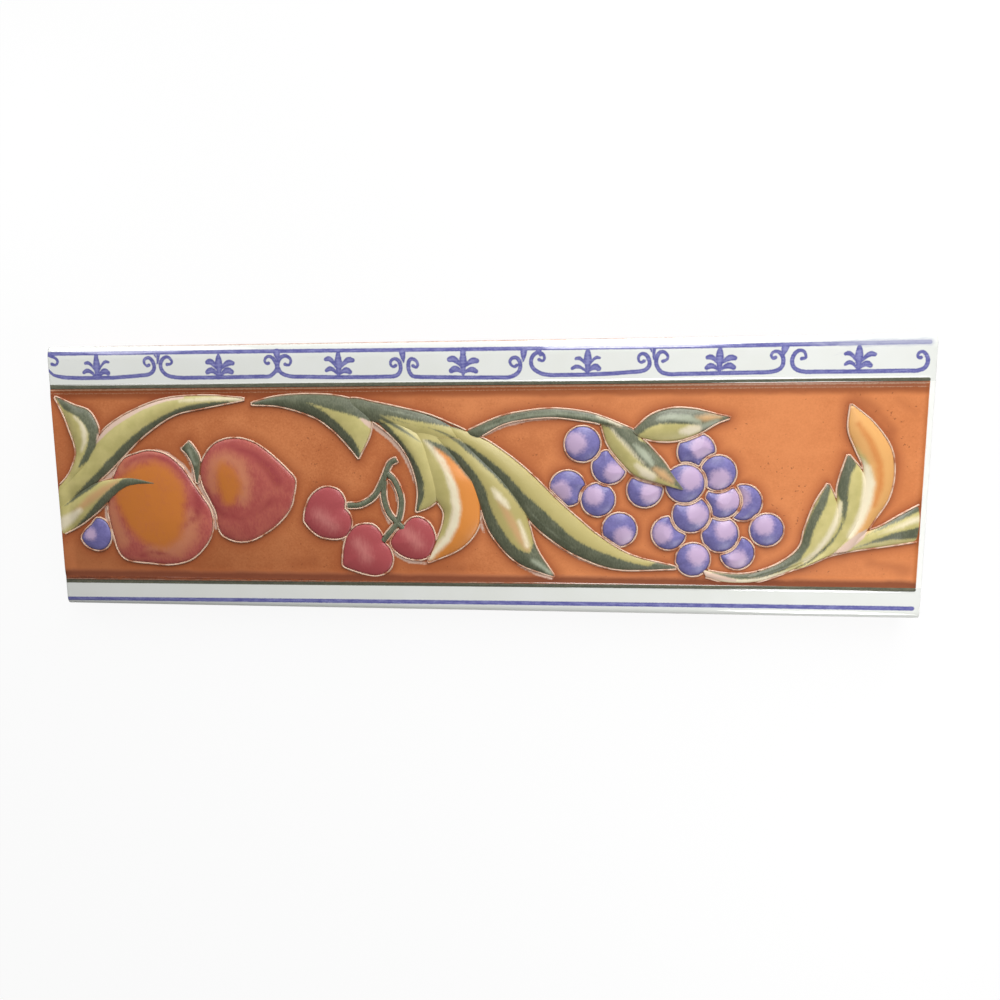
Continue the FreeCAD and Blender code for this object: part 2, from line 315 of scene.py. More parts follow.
FAR_OUTSIDE = -9.0
REACH = 7.0


def painted_depth(places, patches):
    """The depth in the nearest of several patches. A patch of (x, y, width) points is a stroke."""
    deepest = np.full(len(places), FAR_OUTSIDE)
    for patch in patches:
        measure = stroke_depth if len(patch[0]) == 3 else patch_depth
        corners = np.array(patch, float)[:, :2]
        near = ((places > corners.min(0) - REACH) & (places < corners.max(0) + REACH)).all(1)
        if near.any():
            deepest[near] = np.maximum(deepest[near], measure(places[near], patch))
    return deepest


print("a stroke 2 mm wide is", stroke_depth(np.array([[0.0, 0.0]]), [(0, 0, 2)])[0], "mm deep at its middle")

# %% [markdown]
# ## From a bmesh to a piece of the tile
# The helpers below work in millimetres and end in metres. A sheet starts as a grid whose corners are
# laid on a surface. Its rim is then drawn down into the body and closed, so each piece is a solid
# that sits in the tile as fired clay does.

# %% Sheets
def laid_sheet(columns, rows, lay):
    """A grid laid on a surface: lay takes shares from 0 to 1 and gives points in millimetres."""
    sheet = bmesh.new()
    bmesh.ops.create_grid(sheet, x_segments=columns, y_segments=rows, size=0.5)
    shares = np.array([vertex.co[:2] for vertex in sheet.verts]) + 0.5
    for vertex, point in zip(sheet.verts, lay(shares[:, 0], shares[:, 1])):
        vertex.co = point
    bmesh.ops.remove_doubles(sheet, verts=sheet.verts, dist=0.01)
    return sheet


def rooted(sheet, root, draw_in=0.0):
    """Draws the rim of a sheet down to one level, a little inwards, and closes it there."""
    middle = sum((vertex.co for vertex in sheet.verts), Vector()) / len(sheet.verts)
    rim = [edge for edge in sheet.edges if edge.is_boundary]
    drawn = bmesh.ops.extrude_edge_only(sheet, edges=rim)["geom"]
    foot = [item for item in drawn if isinstance(item, bmesh.types.BMVert)]
    for vertex in foot:
        vertex.co.z = root
        for axis in (0, 1):
            vertex.co[axis] -= math.copysign(draw_in, vertex.co[axis] - middle[axis])
    bmesh.ops.holes_fill(sheet, edges=[edge for edge in sheet.edges if edge.is_boundary], sides=0)
    return sheet


trial = rooted(laid_sheet(1, 1, lambda u, v: np.stack([u, v, u + v], 1)), -1)
print("a square drawn down and closed has", len(trial.faces), "faces")
trial.free()

# %% A piece of the tile
def piece(name, parts, finish, paints=None, sharp=50):
    """Joins bmeshes into one piece of the tile, stores its painted depths and gives it its finish."""
    joined = bmesh.new()
    for part in parts:
        bmesh.ops.recalc_face_normals(part, faces=part.faces)
        scrap = bpy.data.meshes.new("scrap")
        part.to_mesh(scrap)
        part.free()
        joined.from_mesh(scrap)
        bpy.data.meshes.remove(scrap)
    mesh = bpy.data.meshes.new(name)
    joined.to_mesh(mesh)
    joined.free()
    places = np.array([vertex.co[:2] for vertex in mesh.vertices])
    for attribute, depths in (paints(places) if paints else {}).items():
        mesh.attributes.new(attribute, "FLOAT", "POINT").data.foreach_set("value", depths.astype(np.float32))
    for vertex in mesh.vertices:
        vertex.co *= MM
    mesh.polygons.foreach_set("use_smooth", [True] * len(mesh.polygons))
    mesh.set_sharp_from_angle(angle=math.radians(sharp))
    mesh.materials.append(finish.material)
    made = bpy.data.objects.new(name, mesh)
    bpy.context.scene.collection.objects.link(made)
    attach(made, "root")
    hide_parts("border_tile")
    print(name, len(mesh.polygons), "faces")


print("each piece rides on root and replaces border_tile")

# %% [markdown]
# ## Biscuit: the body and its keyed back
# The sides and the back are bare fired clay. The body is one section drawn along the border, as clay
# comes from an extruder, with six shallow channels in its back that end before the rim. Its top is
# covered by the glazed face.

# %% Body of bare biscuit
KEY_RIM, KEY_RIBS, KEY_RIB_WIDTH, KEY_DEPTH, KEY_DRAFT = 6.0, 5, 4.0, 1.0, 0.5
FOOT_CHAMFER, TOP_LEDGE, TOP_SLOPE = 0.25, 0.5, 0.1
ROUNDED_CORNER = ((0, 0.8), (0.23, 0.24), (0.8, 0))


def back_profile():
    """Points of the body's section from its left foot round the top to the right foot and back."""
    width = (2 * HALF_HEIGHT - 2 * KEY_RIM - KEY_RIBS * KEY_RIB_WIDTH) / (KEY_RIBS + 1)
    side = [(HALF_HEIGHT - TOP_LEDGE, WALL_TOP + TOP_SLOPE), (HALF_HEIGHT, WALL_TOP),
            (HALF_HEIGHT, FOOT_CHAMFER)]
    points = [(-y, z) for y, z in reversed(side)] + side + [(HALF_HEIGHT - FOOT_CHAMFER, 0)]
    for channel in range(KEY_RIBS + 1):
        start = HALF_HEIGHT - KEY_RIM - channel * (width + KEY_RIB_WIDTH)
        points += [(start, 0), (start - KEY_DRAFT, KEY_DEPTH), (start - width + KEY_DRAFT, KEY_DEPTH),
                   (start - width, 0)]
    return points + [(FOOT_CHAMFER - HALF_HEIGHT, 0)]


def biscuit_body():
    """The section drawn along X through its stations: rounded corners, channels that end in a slope."""
    stations = [(ahead - HALF_LENGTH, narrow, 0) for ahead, narrow in ROUNDED_CORNER]
    stations += [(KEY_RIM - HALF_LENGTH, 0, 0), (KEY_RIM + KEY_DRAFT - HALF_LENGTH, 0, 1)]
    stations += [(-x, narrow, deep) for x, narrow, deep in reversed(stations)]
    body = bmesh.new()
    ring = [body.verts.new((-HALF_LENGTH, y, z)) for y, z in back_profile()]
    edges = [body.edges.new(pair) for pair in zip(ring, ring[1:] + ring[:1])]
    for x, _, _ in stations[1:]:
        drawn = bmesh.ops.extrude_edge_only(body, edges=edges)["geom"]
        ring = {item for item in drawn if isinstance(item, bmesh.types.BMVert)}
        edges = [item for item in drawn if isinstance(item, bmesh.types.BMEdge) and set(item.verts) <= ring]
        for vertex in ring:
            vertex.co.x = x
    bmesh.ops.holes_fill(body, edges=[edge for edge in body.edges if edge.is_boundary], sides=0)
    for vertex in body.verts:
        x, narrow, deep = min(stations, key=lambda station: abs(station[0] - vertex.co.x))
        if abs(vertex.co.z - KEY_DEPTH) < 1e-4:
            vertex.co.z *= deep
        limit = HALF_HEIGHT - narrow
        vertex.co.y = max(-limit, min(limit, vertex.co.y))
    return body


biscuit = Finish("bare_red_biscuit", Roughness=0.9, Specular_IOR_Level=0.2)
grain = biscuit.noise(0.6, 4)
cloud = biscuit.noise(14, 3)
biscuit.shown = biscuit.mix(biscuit.ramp(grain + cloud, -0.3, 0.35), (176, 96, 68), (205, 132, 100))
biscuit.feed("Base Color", biscuit.shown)
biscuit.bump(grain + cloud * 0.5, 0.12)
piece("biscuit_body", [biscuit_body()], biscuit, sharp=30)

# %% [markdown]
# ## The glazed face
# The face is three sheets side by side: the sunk ground and the two plain bands. Each is a fine grid
# whose height follows the die. The long edges roll over in an arris, and the short ends fall away.

# %% Height of the face
TOP_ARRIS, BOTTOM_ARRIS = (3.3, 1.0), (1.6, 0.8)
END_START, END_DROP = 0.3, 0.15
BEAD_END, COVE, MARGIN_SLOPE, LEFT_COVE = 1.4, 2.4, 0.6, 3.0
RIGHT_MARGIN = HALF_LENGTH - 1.2


def eased(share):
    """0 to 1 with a smooth start and end."""
    share = np.clip(share, 0, 1)
    return share * share * (3 - 2 * share)


def ground_level(x):
    """The level of the sunk ground, which runs up to the bands at the left end."""
    return BAND - (BAND - GROUND) * eased((HALF_LENGTH + x) / LEFT_COVE)


def quarter(share):
    """How far a quarter of a circle has fallen, from 0 at its top to 1 at its side."""
    return 1 - np.sqrt(np.maximum(1 - np.clip(share, 0, 1) ** 2, 0))


def bead_height(y, foot, shoulder):
    """The bead that closes a band, as a rounded rib between its foot and its shoulder."""
    share = (y - foot) / (shoulder - foot)
    return BEAD * np.sqrt(np.maximum(4 * share * (1 - share), 0))


def end_fall(x):
    """How far the bands have fallen towards the two short ends."""
    return END_DROP * quarter((np.abs(x) - HALF_LENGTH + END_START) / END_START)


def face_height(x, y):
    """The height of the plain face at each place: bands, beads, ground, arrises and rolled ends."""
    hollow = np.clip(np.minimum(TOP_BEAD[0] - y, y - BOTTOM_BEAD[1]) / COVE, 0, 1)
    hollow = 1 - (1 - hollow) ** 2
    z = BAND - (BAND - ground_level(x)) * hollow
    bead_share = np.clip((RIGHT_MARGIN - x) / BEAD_END, 0, 1) * np.clip((HALF_LENGTH + x) / BEAD_END, 0, 1)
    bead = np.where(y > 0, bead_height(y, *TOP_BEAD), bead_height(y, *BOTTOM_BEAD))
    z = z + bead * np.sqrt(bead_share)
    margin = np.clip((x - RIGHT_MARGIN) / MARGIN_SLOPE + 1, 0, 1)
    z = z + margin * (BAND - np.minimum(z, BAND))
    for (width, drop), side in ((TOP_ARRIS, y), (BOTTOM_ARRIS, -y)):
        z = z - drop * quarter((side - HALF_HEIGHT + width) / width)
    return z - end_fall(x) * np.maximum(1 - hollow, margin)


print("top band, ground, bottom band:", face_height(np.zeros(3), np.array([25, 0, -28])).round(2))

# %% Stations and sheets of the face
FACE_DRAW_IN = 0.05


def stops(*runs):
    """A list of stations from runs of (start, end, step)."""
    return np.concatenate([np.linspace(a, b, max(int(round((b - a) / step)), 1), endpoint=False)
                           for a, b, step in runs] + [[runs[-1][1]]])


def face_sheet(columns, rows):
    """A sheet of the face over the given stations along and across the border."""
    def lay(u, v):
        x = np.interp(u, np.linspace(0, 1, len(columns)), columns)
        y = np.interp(v, np.linspace(0, 1, len(rows)), rows)
        return np.stack([x, y, face_height(x, y)], 1)
    return rooted(laid_sheet(len(columns) - 1, len(rows) - 1, lay), UNDER_GLAZE, FACE_DRAW_IN)


LEFT_END, RIGHT_END, END_STEP = END_START - HALF_LENGTH, RIGHT_MARGIN - 0.4, 0.12
along_fine, along_ground = [
    stops((-HALF_LENGTH, LEFT_END, END_STEP), (LEFT_END, RIGHT_END, step), (RIGHT_END, HALF_LENGTH, END_STEP))
    for step in (0.25, 0.5)
]
top_rows = stops((21, 22, 0.1), (22, 27.7, 0.22), (27.7, HALF_HEIGHT, 0.16))
bottom_rows = stops((-HALF_HEIGHT, -29.4, 0.16), (-29.4, -25, 0.3), (-25, -24, 0.1))
ground_rows = stops((-24, -22, 0.2), (-22, 19, 0.45), (19, 21, 0.15))
print("stations along the bands", len(along_fine), "and along the ground", len(along_ground))

# %% [markdown]
# ## The blue ornament
# On the white band run palmettes between long C-scrolls, the common neo-classical running border.
# Each scroll is one stroke of the brush, drawn from the curl at one end to the curl at the other, and
# each palmette is a spear with four petals. They are drawn one by one, as the printer's plate was.

# %% Lines of the ornament
SCROLLS = [
    [(-100.4, 26), (-99.6, 25.2), (-98.5, 24.3), (-96, 23.8), (-92, 23.6), (-84, 23.6), (-79, 23.9),
     (-75.4, 24.2), (-74.2, 24.8), (-73.65, 25.8), (-73.85, 27), (-74.5, 27.9), (-75.2, 28.1), (-76, 27.6),
     (-76, 26.8), (-75.4, 26.2), (-74.9, 26.4)],
    [(-70.5, 26.5), (-69.6, 26.6), (-69.3, 27.3), (-70.2, 28.2), (-71.2, 28), (-71.9, 27.1), (-72.1, 26),
     (-71.7, 25), (-70.9, 24.2), (-69.6, 23.7), (-67, 23.4), (-58, 23.4), (-46.1, 23.5), (-45, 24.2),
     (-44.3, 25), (-44.2, 26), (-44.8, 27.3), (-45.7, 28), (-46.6, 27.8), (-47, 27), (-46.6, 26.4),
     (-46.1, 26.5)],
    [(-42.2, 26.2), (-41.3, 26), (-40.8, 26.9), (-41.2, 27.7), (-42.2, 28.1), (-43.3, 27.6), (-43.9, 26.5),
     (-43.9, 25.5), (-43.3, 24.4), (-42.3, 23.8), (-40.5, 23.4), (-30, 23.15), (-22, 23.1), (-17, 23.2),
     (-16, 23.6), (-15.4, 24.5), (-15.35, 25.6), (-15.7, 26.6), (-16.6, 27.1), (-17.5, 26.7), (-17.6, 25.8),
     (-17, 25.3), (-16.5, 25.6)],
    [(-12.5, 25.5), (-11.7, 25.1), (-11.4, 25.9), (-12, 26.8), (-13, 27), (-13.5, 26.2), (-13.55, 25),
     (-13.2, 23.9), (-12.5, 23.2), (-11, 23), (0, 22.75), (9, 22.7), (10.5, 23.2), (11.4, 24), (11.75, 25.2),
     (11.5, 26.3), (10.8, 27), (9.9, 26.9), (9.4, 26.2), (9.7, 25.4), (10.4, 25), (10.9, 25.3)],
    [(15.9, 26.5), (16.7, 26.2), (17.1, 26.9), (16.6, 27.8), (15.4, 28), (14.4, 27.2), (14.1, 26),
     (14.4, 24.9), (15.2, 24.1), (16.6, 23.4), (18.5, 23.1), (26, 23.1), (32, 23.3), (38, 23.7), (39.3, 24.1),
     (40, 25), (39.9, 26.2), (39.3, 27.2), (38.4, 27.5), (37.7, 27), (37.7, 26), (38.3, 25.6), (38.8, 25.9)],
    [(42.9, 25.8), (43.8, 26.2), (43.9, 27), (43.1, 27.8), (42.2, 27.7), (41.6, 26.8), (41.45, 25.5),
     (41.9, 24.3), (42.8, 23.4), (44.5, 23), (55, 23.1), (65, 23.2), (67, 23.5), (68.1, 24.3), (68.4, 25.6),
     (68.1, 26.7), (67.3, 27.5), (66.3, 27.5), (65.8, 26.8), (66.2, 26.1), (66.7, 26.3)],
    [(72.2, 26), (73, 26.1), (73, 26.8), (72.5, 27.6), (71.5, 27.7), (70.6, 26.9), (70.2, 25.6), (70.5, 24.4),
     (71.4, 23.6), (73, 23.2), (84, 23.15), (96, 23.2), (97.4, 23.7), (98, 24.8), (97.9, 26), (97.2, 27),
     (96.4, 27.1), (95.9, 26.5), (96.1, 25.9), (96.6, 25.9)],
]
CURL_RUN, CURL_WIDTHS = (0, 0.8, 2, 4.5), (0.85, 0.6, 0.7, 0.95)
DROPS = [
    [(-99.6, 29, 0.9), (-98, 28.3, 0.7), (-97.4, 27.5, 0.7), (-98, 26.7, 0.65), (-98.9, 26.9, 0.9)],
    [(-73.4, 28.8, 0.5), (-73.2, 28.2, 0.3)], [(-72.5, 28.9, 0.9), (-72.6, 28, 0.8), (-72.8, 26.8, 0.5)],
    [(-44.1, 28.9, 1.8), (-43.9, 27.2, 0.5)], [(-44.05, 26.2, 0.9), (-44.05, 24.6, 0.7)],
    [(-14.9, 28.7, 1.6), (-14.75, 27.4, 1.1), (-14.6, 26.3, 0.35)],
    [(12.5, 28.6, 1.6), (12.45, 27.4, 1.2), (12.4, 26.2, 0.35)], [(15.8, 28.5, 1.2), (16.2, 27.6, 0.9)],
    [(40.2, 28.5, 0.5), (40.4, 27.9, 0.3)], [(41, 28.5, 0.8), (40.9, 27.4, 0.7), (40.9, 26.3, 0.4)],
    [(68.7, 28.5, 1.7), (68.5, 27.6, 1.2), (68.4, 26.8, 0.4)],
]
PALMETTES = {
    -87.8: (0.95, ((-90.6, 27.1, 0.75), (-84.8, 27.3, 0.65), (-91.1, 25, 0.9), (-85.1, 24.8, 1.25))),
    -58.0: (0.35, ((-60.7, 27, 1.2), (-54.7, 26.7, 1.2), (-60.8, 24.75, 1.2), (-55, 24.7, 1.25))),
    -29.7: (0.8, ((-32.6, 27.3, 1.0), (-26.4, 27, 1.15), (-32.5, 24.8, 0.95), (-27.1, 24.4, 1.2))),
    -1.1: (1.4, ((-4.2, 26.9, 1.25), (2, 26.5, 1.2), (-3.8, 24.4, 1.25), (1.8, 24.2, 1.1))),
    26.6: (0.45, ((24, 26.7, 0.75), (29.2, 26.8, 0.65), (23.2, 24.6, 0.8), (29, 24.5, 1.25))),
    55.0: (0.35, ((52.4, 26.6, 1.0), (58.2, 26.4, 1.15), (52.3, 24.4, 1.1), (58, 24.4, 1.2))),
    84.0: (0.6, ((81.2, 27, 0.85), (87.2, 26.8, 1.0), (81.3, 24.8, 0.8), (86.4, 24.5, 1.15))),
}
BLUE_LINES = [
    [(-100.5, 29.3, 0.95), (-50, 29.2, 0.95), (0, 29, 0.9), (50, 28.9, 0.95), (98.3, 29.15, 0.9)],
    [(-100.5, -29.75, 0.95), (-50, -29.35, 1), (0, -29, 1), (50, -28.75, 1), (98.3, -28.65, 1)],
]
GREEN_LINES = [
    [(-100.5, 21.6, 1.0), (-50, 21.5, 0.95), (0, 21.35, 0.95), (50, 21.25, 0.9), (98.4, 21.3, 0.9)],
    [(-100.5, -25.35, 0.85), (-50, -25.1, 0.85), (0, -24.8, 0.85), (50, -24.5, 0.85), (98.4, -24.4, 0.85)],
]
GREY_SMUDGE = [
    [(70, 29, -0.8), (80, 29.1, 0.5), (87, 29.2, 1.1), (98.3, 29.25, 1.2)],
    [(78.5, 26.6, -1.1), (81, 27.2, -0.8)],
]
print(len(SCROLLS), "scrolls,", len(DROPS), "drops and", len(PALMETTES), "palmettes")

# %% Brush strokes of the ornament
def evened(points, gap=1.6):
    """The same points, with more of them along a long straight run, so that a curve stays on it."""
    full = [points[0]]
    for before, after in zip(points, points[1:]):
        count = max(int(math.dist(before, after) / gap), 1)
        step = (np.array(after) - before) / count
        full += [tuple(before + step * k) for k in range(1, count + 1)]
    return full


def scroll_stroke(points):
    """A scroll as the brush left it: a small blob in each curl, thin round it and broad along the bar."""
    line = smooth_line(evened(points), 0.3)
    run = np.concatenate([[0], np.cumsum(np.linalg.norm(np.diff(line, axis=0), axis=1))])
    return np.column_stack([line, np.interp(np.minimum(run, run[-1] - run), CURL_RUN, CURL_WIDTHS)])


def palmette(x, top_width, petals):
    """The brush strokes of one palmette: a spear that stands on the scroll, and four full petals."""
    strokes = [[(x, 28.8, top_width), (x, 27.7, 1.35), (x, 26.5, 1.75), (x, 25.1, 1.3), (x, 23.6, 0.8)]]
    for (tip_x, tip_y, width), foot, bow in zip(petals, (25.2, 25.2, 23.9, 23.9), (0, 0, 0.3, 0.3)):
        reach, climb = tip_x - x, tip_y - foot
        strokes.append([
            (x + reach * 0.12, foot, 0.5), (x + reach * 0.42, foot + climb * 0.62 + bow, width * 0.9),
            (x + reach * 0.72, tip_y + bow, width * 1.2), (tip_x, tip_y - 0.1, width * 0.95),
        ])
    return strokes


def ornament():
    """Every blue stroke of the top band, smoothed."""
    strokes = [scroll_stroke(scroll) for scroll in SCROLLS] + [smooth_line(drop, 0.3) for drop in DROPS]
    for x, shape in PALMETTES.items():
        strokes += [smooth_line(stroke, 0.3) for stroke in palmette(x, *shape)]
    return strokes + [BLUE_LINES[0]]


blue_strokes = ornament()
print(len(blue_strokes), "brush strokes on the top band")

# %% [markdown]
# ## The white glaze and its printed lines
# White glaze is opaque and glassy. The blue sinks a little into it, so a stroke is darker where the
# brush left more colour and its edge is soft. The dark green line lies on the bead.

# %% White glaze
white = Finish("white_band_glaze", Roughness=0.15, Coat_Weight=1.0, Coat_Roughness=0.05, Coat_IOR=1.6)
ink = white.depth("blue")
tremble, streaks = white.noise(0.35, 2), white.noise(0.5, 3, (0.2, 1, 1))
ragged = tremble + streaks
white.shown = white.mix(white.ramp(white.noise(9, 3), -0.3, 0.3), (232, 234, 230), (228, 230, 224))
blue = white.mix(white.ramp(streaks + tremble * 0.5 + ink * 0.5, -0.05, 0.5), (94, 94, 158), (140, 141, 192))
clay_edge = white.mix(white.ramp(ragged, -0.2, 0.3), (112, 56, 34), (144, 78, 47))
leaf_line = white.mix(white.ramp(ragged, -0.25, 0.3), (86, 88, 74), (108, 108, 90))
worn = white.mix(white.ramp(ragged, -0.2, 0.2), (206, 176, 152), (160, 100, 70))
white.lay(ink + tremble * 0.2, -0.1, 0.14, blue)
white.lay(white.depth("smudge") + streaks * 1.2, -0.8, 0.6, (176, 178, 196), 0.8)
white.lay(white.depth("clay") + tremble * 0.1, -0.05, 0.05, clay_edge)
white.lay(white.depth("green") + tremble * 0.15, -0.08, 0.08, leaf_line)
white.lay(white.depth("worn") + tremble * 0.3, -0.08, 0.1, worn)
white.feed("Base Color", white.shown)
white.bump(white.noise(2.5, 2) * 0.3 + tremble * 0.05, 0.04)
print("the white glaze takes", len(white.tree.nodes), "nodes")

# %% White bands
WORN_LINES = [[(x, y + 0.62, 0.14) for x, y, width in GREEN_LINES[1]],
              [(-90, 31, 0.1), (-60, 31, 0.5), (20, 31, 0.5), (70, 31, 0.1)]]
CLAY_OVERLAP = 0.1


def beyond_line(places, line):
    """How far each place lies beyond a green line, on the frieze's side of it."""
    x, y, width = np.array(line).T
    middle, half = np.interp(places[:, 0], x, y), np.interp(places[:, 0], x, width) / 2
    return np.abs(middle) - half + CLAY_OVERLAP - np.abs(places[:, 1])


def band_paint(places):
    """The depths that the white bands need."""
    patches = {"blue": blue_strokes + BLUE_LINES[1:], "green": GREEN_LINES, "smudge": GREY_SMUDGE,
               "worn": WORN_LINES}
    clay = np.where(places[:, 1] > 0, *[beyond_line(places, line) for line in GREEN_LINES])
    depths = {kind: painted_depth(places, shapes) for kind, shapes in patches.items()}
    return depths | {"clay": np.minimum(clay, RIGHT_MARGIN - places[:, 0])}


piece("top_band", [face_sheet(along_fine, top_rows)], white, band_paint)
piece("bottom_band", [face_sheet(along_ground, bottom_rows)], white, band_paint)

# %% [markdown]
# ## The motifs of the frieze
# Leaves and stems are blades between two edges, read from the photograph from root to tip. Fruits are
# outlines. The same points shaped the CAD model, so each dressed motif stands where its solid does.

# %% Blades
LEAF_RISE, STEM_RISE, STEP = 1.3, 0.9, 0.3
NARROW_CROWN = 0.13
BLADES = {
    "curled_leaf": [
        [(-101, -3.5), (-97.4, 0.7), (-95.2, 5.2), (-95.3, 8.2), (-96.1, 10.9), (-97.1, 14.2), (-98.9, 19.1)],
        [(-98.6, -3.2), (-93.6, 1.8), (-90.8, 5), (-89.2, 9), (-88.9, 12.1), (-90.9, 15.9), (-94.5, 17.3),
         (-98.8, 19.3)],
    ],
    "long_leaf": [
        [(-102, -9.4), (-95.6, -4.4), (-91.1, -1.7), (-86.9, 1.6), (-83, 5.2), (-77.6, 10), (-70, 14.7),
         (-62, 16.5), (-52.7, 18.2)],
        [(-102, -4.5), (-97, 0), (-93.5, 3), (-90.6, 7), (-87.6, 11.4), (-81, 15.5), (-72, 18.6), (-62, 19.3),
         (-52.7, 18.6)],
    ],
    "lower_leaf": [
        [(-102, -14.9), (-95.6, -11.7), (-91.1, -8.6), (-87.5, -5.6), (-83.6, -2.7), (-80, -1.5),
         (-75.3, -1.3)],
        [(-102, -8.2), (-97.7, -5.3), (-93.5, -2.6), (-89.8, -1), (-85, -0.2), (-80.5, 0), (-75.3, -1.1)],
    ],
    "hooked_lobe": [
        [(-50.8, 17.1), (-45, 16.8), (-40, 15.6), (-35, 13.6), (-30.8, 10.3), (-27.5, 6.7), (-25.9, 4.6)],
        [(-50.8, 17.5), (-45, 18.9), (-37, 19.4), (-29, 18.7), (-23.5, 16.4), (-22.7, 11), (-25.7, 4.7)],
    ],
    "spine": [
        [(-33, 14.8), (-24, 13.5), (-16, 11), (-10, 9), (-5, 7.5), (1, 6)],
        [(-33, 17), (-27, 18.4), (-22, 17.5), (-16, 16.2), (-8, 14.1), (2, 9.5)],
    ],
    "inner_lobe": [
        [(-24, 13.9), (-21.2, 12.4), (-17.6, 9.4), (-15, 6.2), (-13.1, 2), (-12.1, -3), (-12.6, -7.7)],
        [(-13.5, 14.6), (-10.3, 8.8), (-8.3, 4), (-6.8, -0.5), (-6.9, -4), (-9, -6.4), (-12.4, -7.8)],
    ],
    "orange_lobe": [
        [(-17, 11.5), (-13.5, 6.4), (-11.4, 1), (-9.2, -3.4), (-6.4, -7.2), (-6.3, -10), (-7.5, -13.6),
         (-10, -19.5)],
        [(-5, 12), (-2, 3.4), (1.3, -1.2), (2.4, -7.2), (1.6, -12), (-2.4, -16.4), (-9.8, -19.7)],
    ],
    "lower_lobe": [
        [(-12, 9.5), (-7.6, 7.1), (-5, 5.5), (-2.5, 3), (-0.2, -0.1), (2.1, -5.6), (4.8, -12.8),
         (10.8, -19.4), (19.2, -22.7)],
        [(2, 9), (5, 3.8), (8.8, -1.2), (12.3, -6.2), (13.7, -10.7), (15.4, -16.2), (19.4, -22.5)],
    ],
    "trailing_lobe": [
        [(-12, 11.6), (-5, 9.6), (-2, 7.5), (0.8, 5.2), (3.5, 2.8), (6.2, 0.2), (9.6, -3.9), (14.4, -10.4),
         (20, -15), (26, -18.4), (34, -20.8), (46.8, -20.5)],
        [(-12, 14), (-4.8, 12.6), (-0.5, 10.8), (2.5, 9.4), (5, 8.1), (10.2, 4.4), (15, 0.2), (20, -4.8),
         (25, -9.3), (30, -13.4), (37, -17.5), (46.8, -20)],
    ],
    "hanging_leaf": [
        [(29.6, 12.2), (31.2, 7.6), (34.2, 3.7), (37.5, 0.6), (42, -0.8), (47.5, -2.4)],
        [(36, 11.2), (39.6, 8.2), (41.8, 5.9), (43.6, 3.9), (45.6, 1), (47.9, -2.2)],
    ],
    "side_leaf": [
        [(38.2, 9.3), (42, 8.4), (46.5, 8.5), (51, 10), (54.9, 12.3), (57.5, 13.3)],
        [(36.6, 10.6), (40.5, 14.1), (45, 15.6), (50, 15.4), (54.9, 14.2), (57.7, 13.6)],
    ],
    "first_point": [
        [(65.5, -22.6), (74.5, -18.9), (79.8, -15), (81.9, -10.5), (81.6, -6.4), (80.6, -3.5), (79.4, -1.2)],
        [(62, -21.9), (69, -19.2), (73.5, -15.5), (74.7, -11), (76.5, -5.6), (79, -1.1)],
    ],
    "second_point": [
        [(76.5, -18.9), (82.6, -15.5), (86.2, -10), (87.2, -5), (87, 0.5), (83.4, 5.2)],
        [(73, -20.2), (78.2, -16.4), (80.8, -11.6), (81.2, -6.6), (81.2, -1.4), (82.9, 5.2)],
    ],
    "third_point": [
        [(85.5, -15.7), (89.4, -8.9), (92.1, -4.1), (92.9, 1.6), (91.8, 7), (88, 12.2), (83.3, 16.1)],
        [(80.4, -16.4), (84.6, -10.4), (86.4, -3), (86.3, 2.5), (84.6, 6.4), (82.8, 10.9), (83, 16.1)],
    ],
    "running_leaf": [
        [(75, -19.4), (79.5, -17.4), (84, -16.1), (90, -15.1), (96, -14.1), (103, -12.8)],
        [(73.5, -18.6), (78.5, -15.8), (84.5, -12.5), (90, -10.7), (95, -7.7), (103, -3)],
    ],
    "vine": [
        [(0.6, 8.4), (7.5, 12.2), (13, 13.4), (19, 13.8), (25, 13.1), (30, 12.1), (39.4, 8.9)],
        [(-1.6, 10.3), (6.8, 13.9), (13, 15.2), (19, 15.7), (25, 15.1), (30, 13.8), (39.8, 9.7)],
    ],
    "branch": [
        [(53.6, -22.3), (58.5, -23.5), (64.8, -23.2), (70.5, -21.2), (76.5, -18.5)],
        [(52.8, -20.6), (58, -21.4), (63, -21.3), (69, -19.6), (76, -17.4)],
    ],
    "stub": [
        [(-68.5, 6.9), (-67, 5.2), (-66, 3), (-65.6, 1), (-65.4, -1.2)],
        [(-66.5, 8.7), (-65, 6.7), (-64.1, 4.5), (-64.4, 1.5), (-64.9, -1.3)],
    ],
}
STEMS = ("vine", "branch", "stub")
LIFTED_TIPS = {"lower_leaf": 1.15, "hanging_leaf": 1.2}
SUNK_ENDS = {
    "inner_lobe": (0.3, 0),
    "orange_lobe": (0.4, 0),
    "lower_lobe": (0.4, 0),
    "trailing_lobe": (0.3, 0),
    "spine": (0, 0.5),
    "vine": (0.05, 0),
}
SINK = 0.7
STALKS = [
    [(-16.9, 4.3), (-18.6, 3.2), (-20.1, -0.2), (-22.3, -4.1), (-25.5, -6.1), (-28.8, -6.4)],
    [(-19.9, -0.6), (-20.1, -4.5), (-18.9, -8.3), (-16, -11.4), (-15.3, -11.9)],
    [(-19.3, 1.2), (-17.4, -0.8), (-16, -5), (-16.8, -9.8), (-19.3, -13.2), (-20.6, -14.7)],
]
STALK_WIDTH = 1.25
print(len(BLADES), "blades and", len(STALKS), "stalks")

# %% Edges and sheets of a blade
ROOT_RUN, END_INSET, FLATTEST, EDGE_OVERLAP, LOWEST_TOP = 5.0, 0.04, 0.02, 0.05, SUNK + 0.3


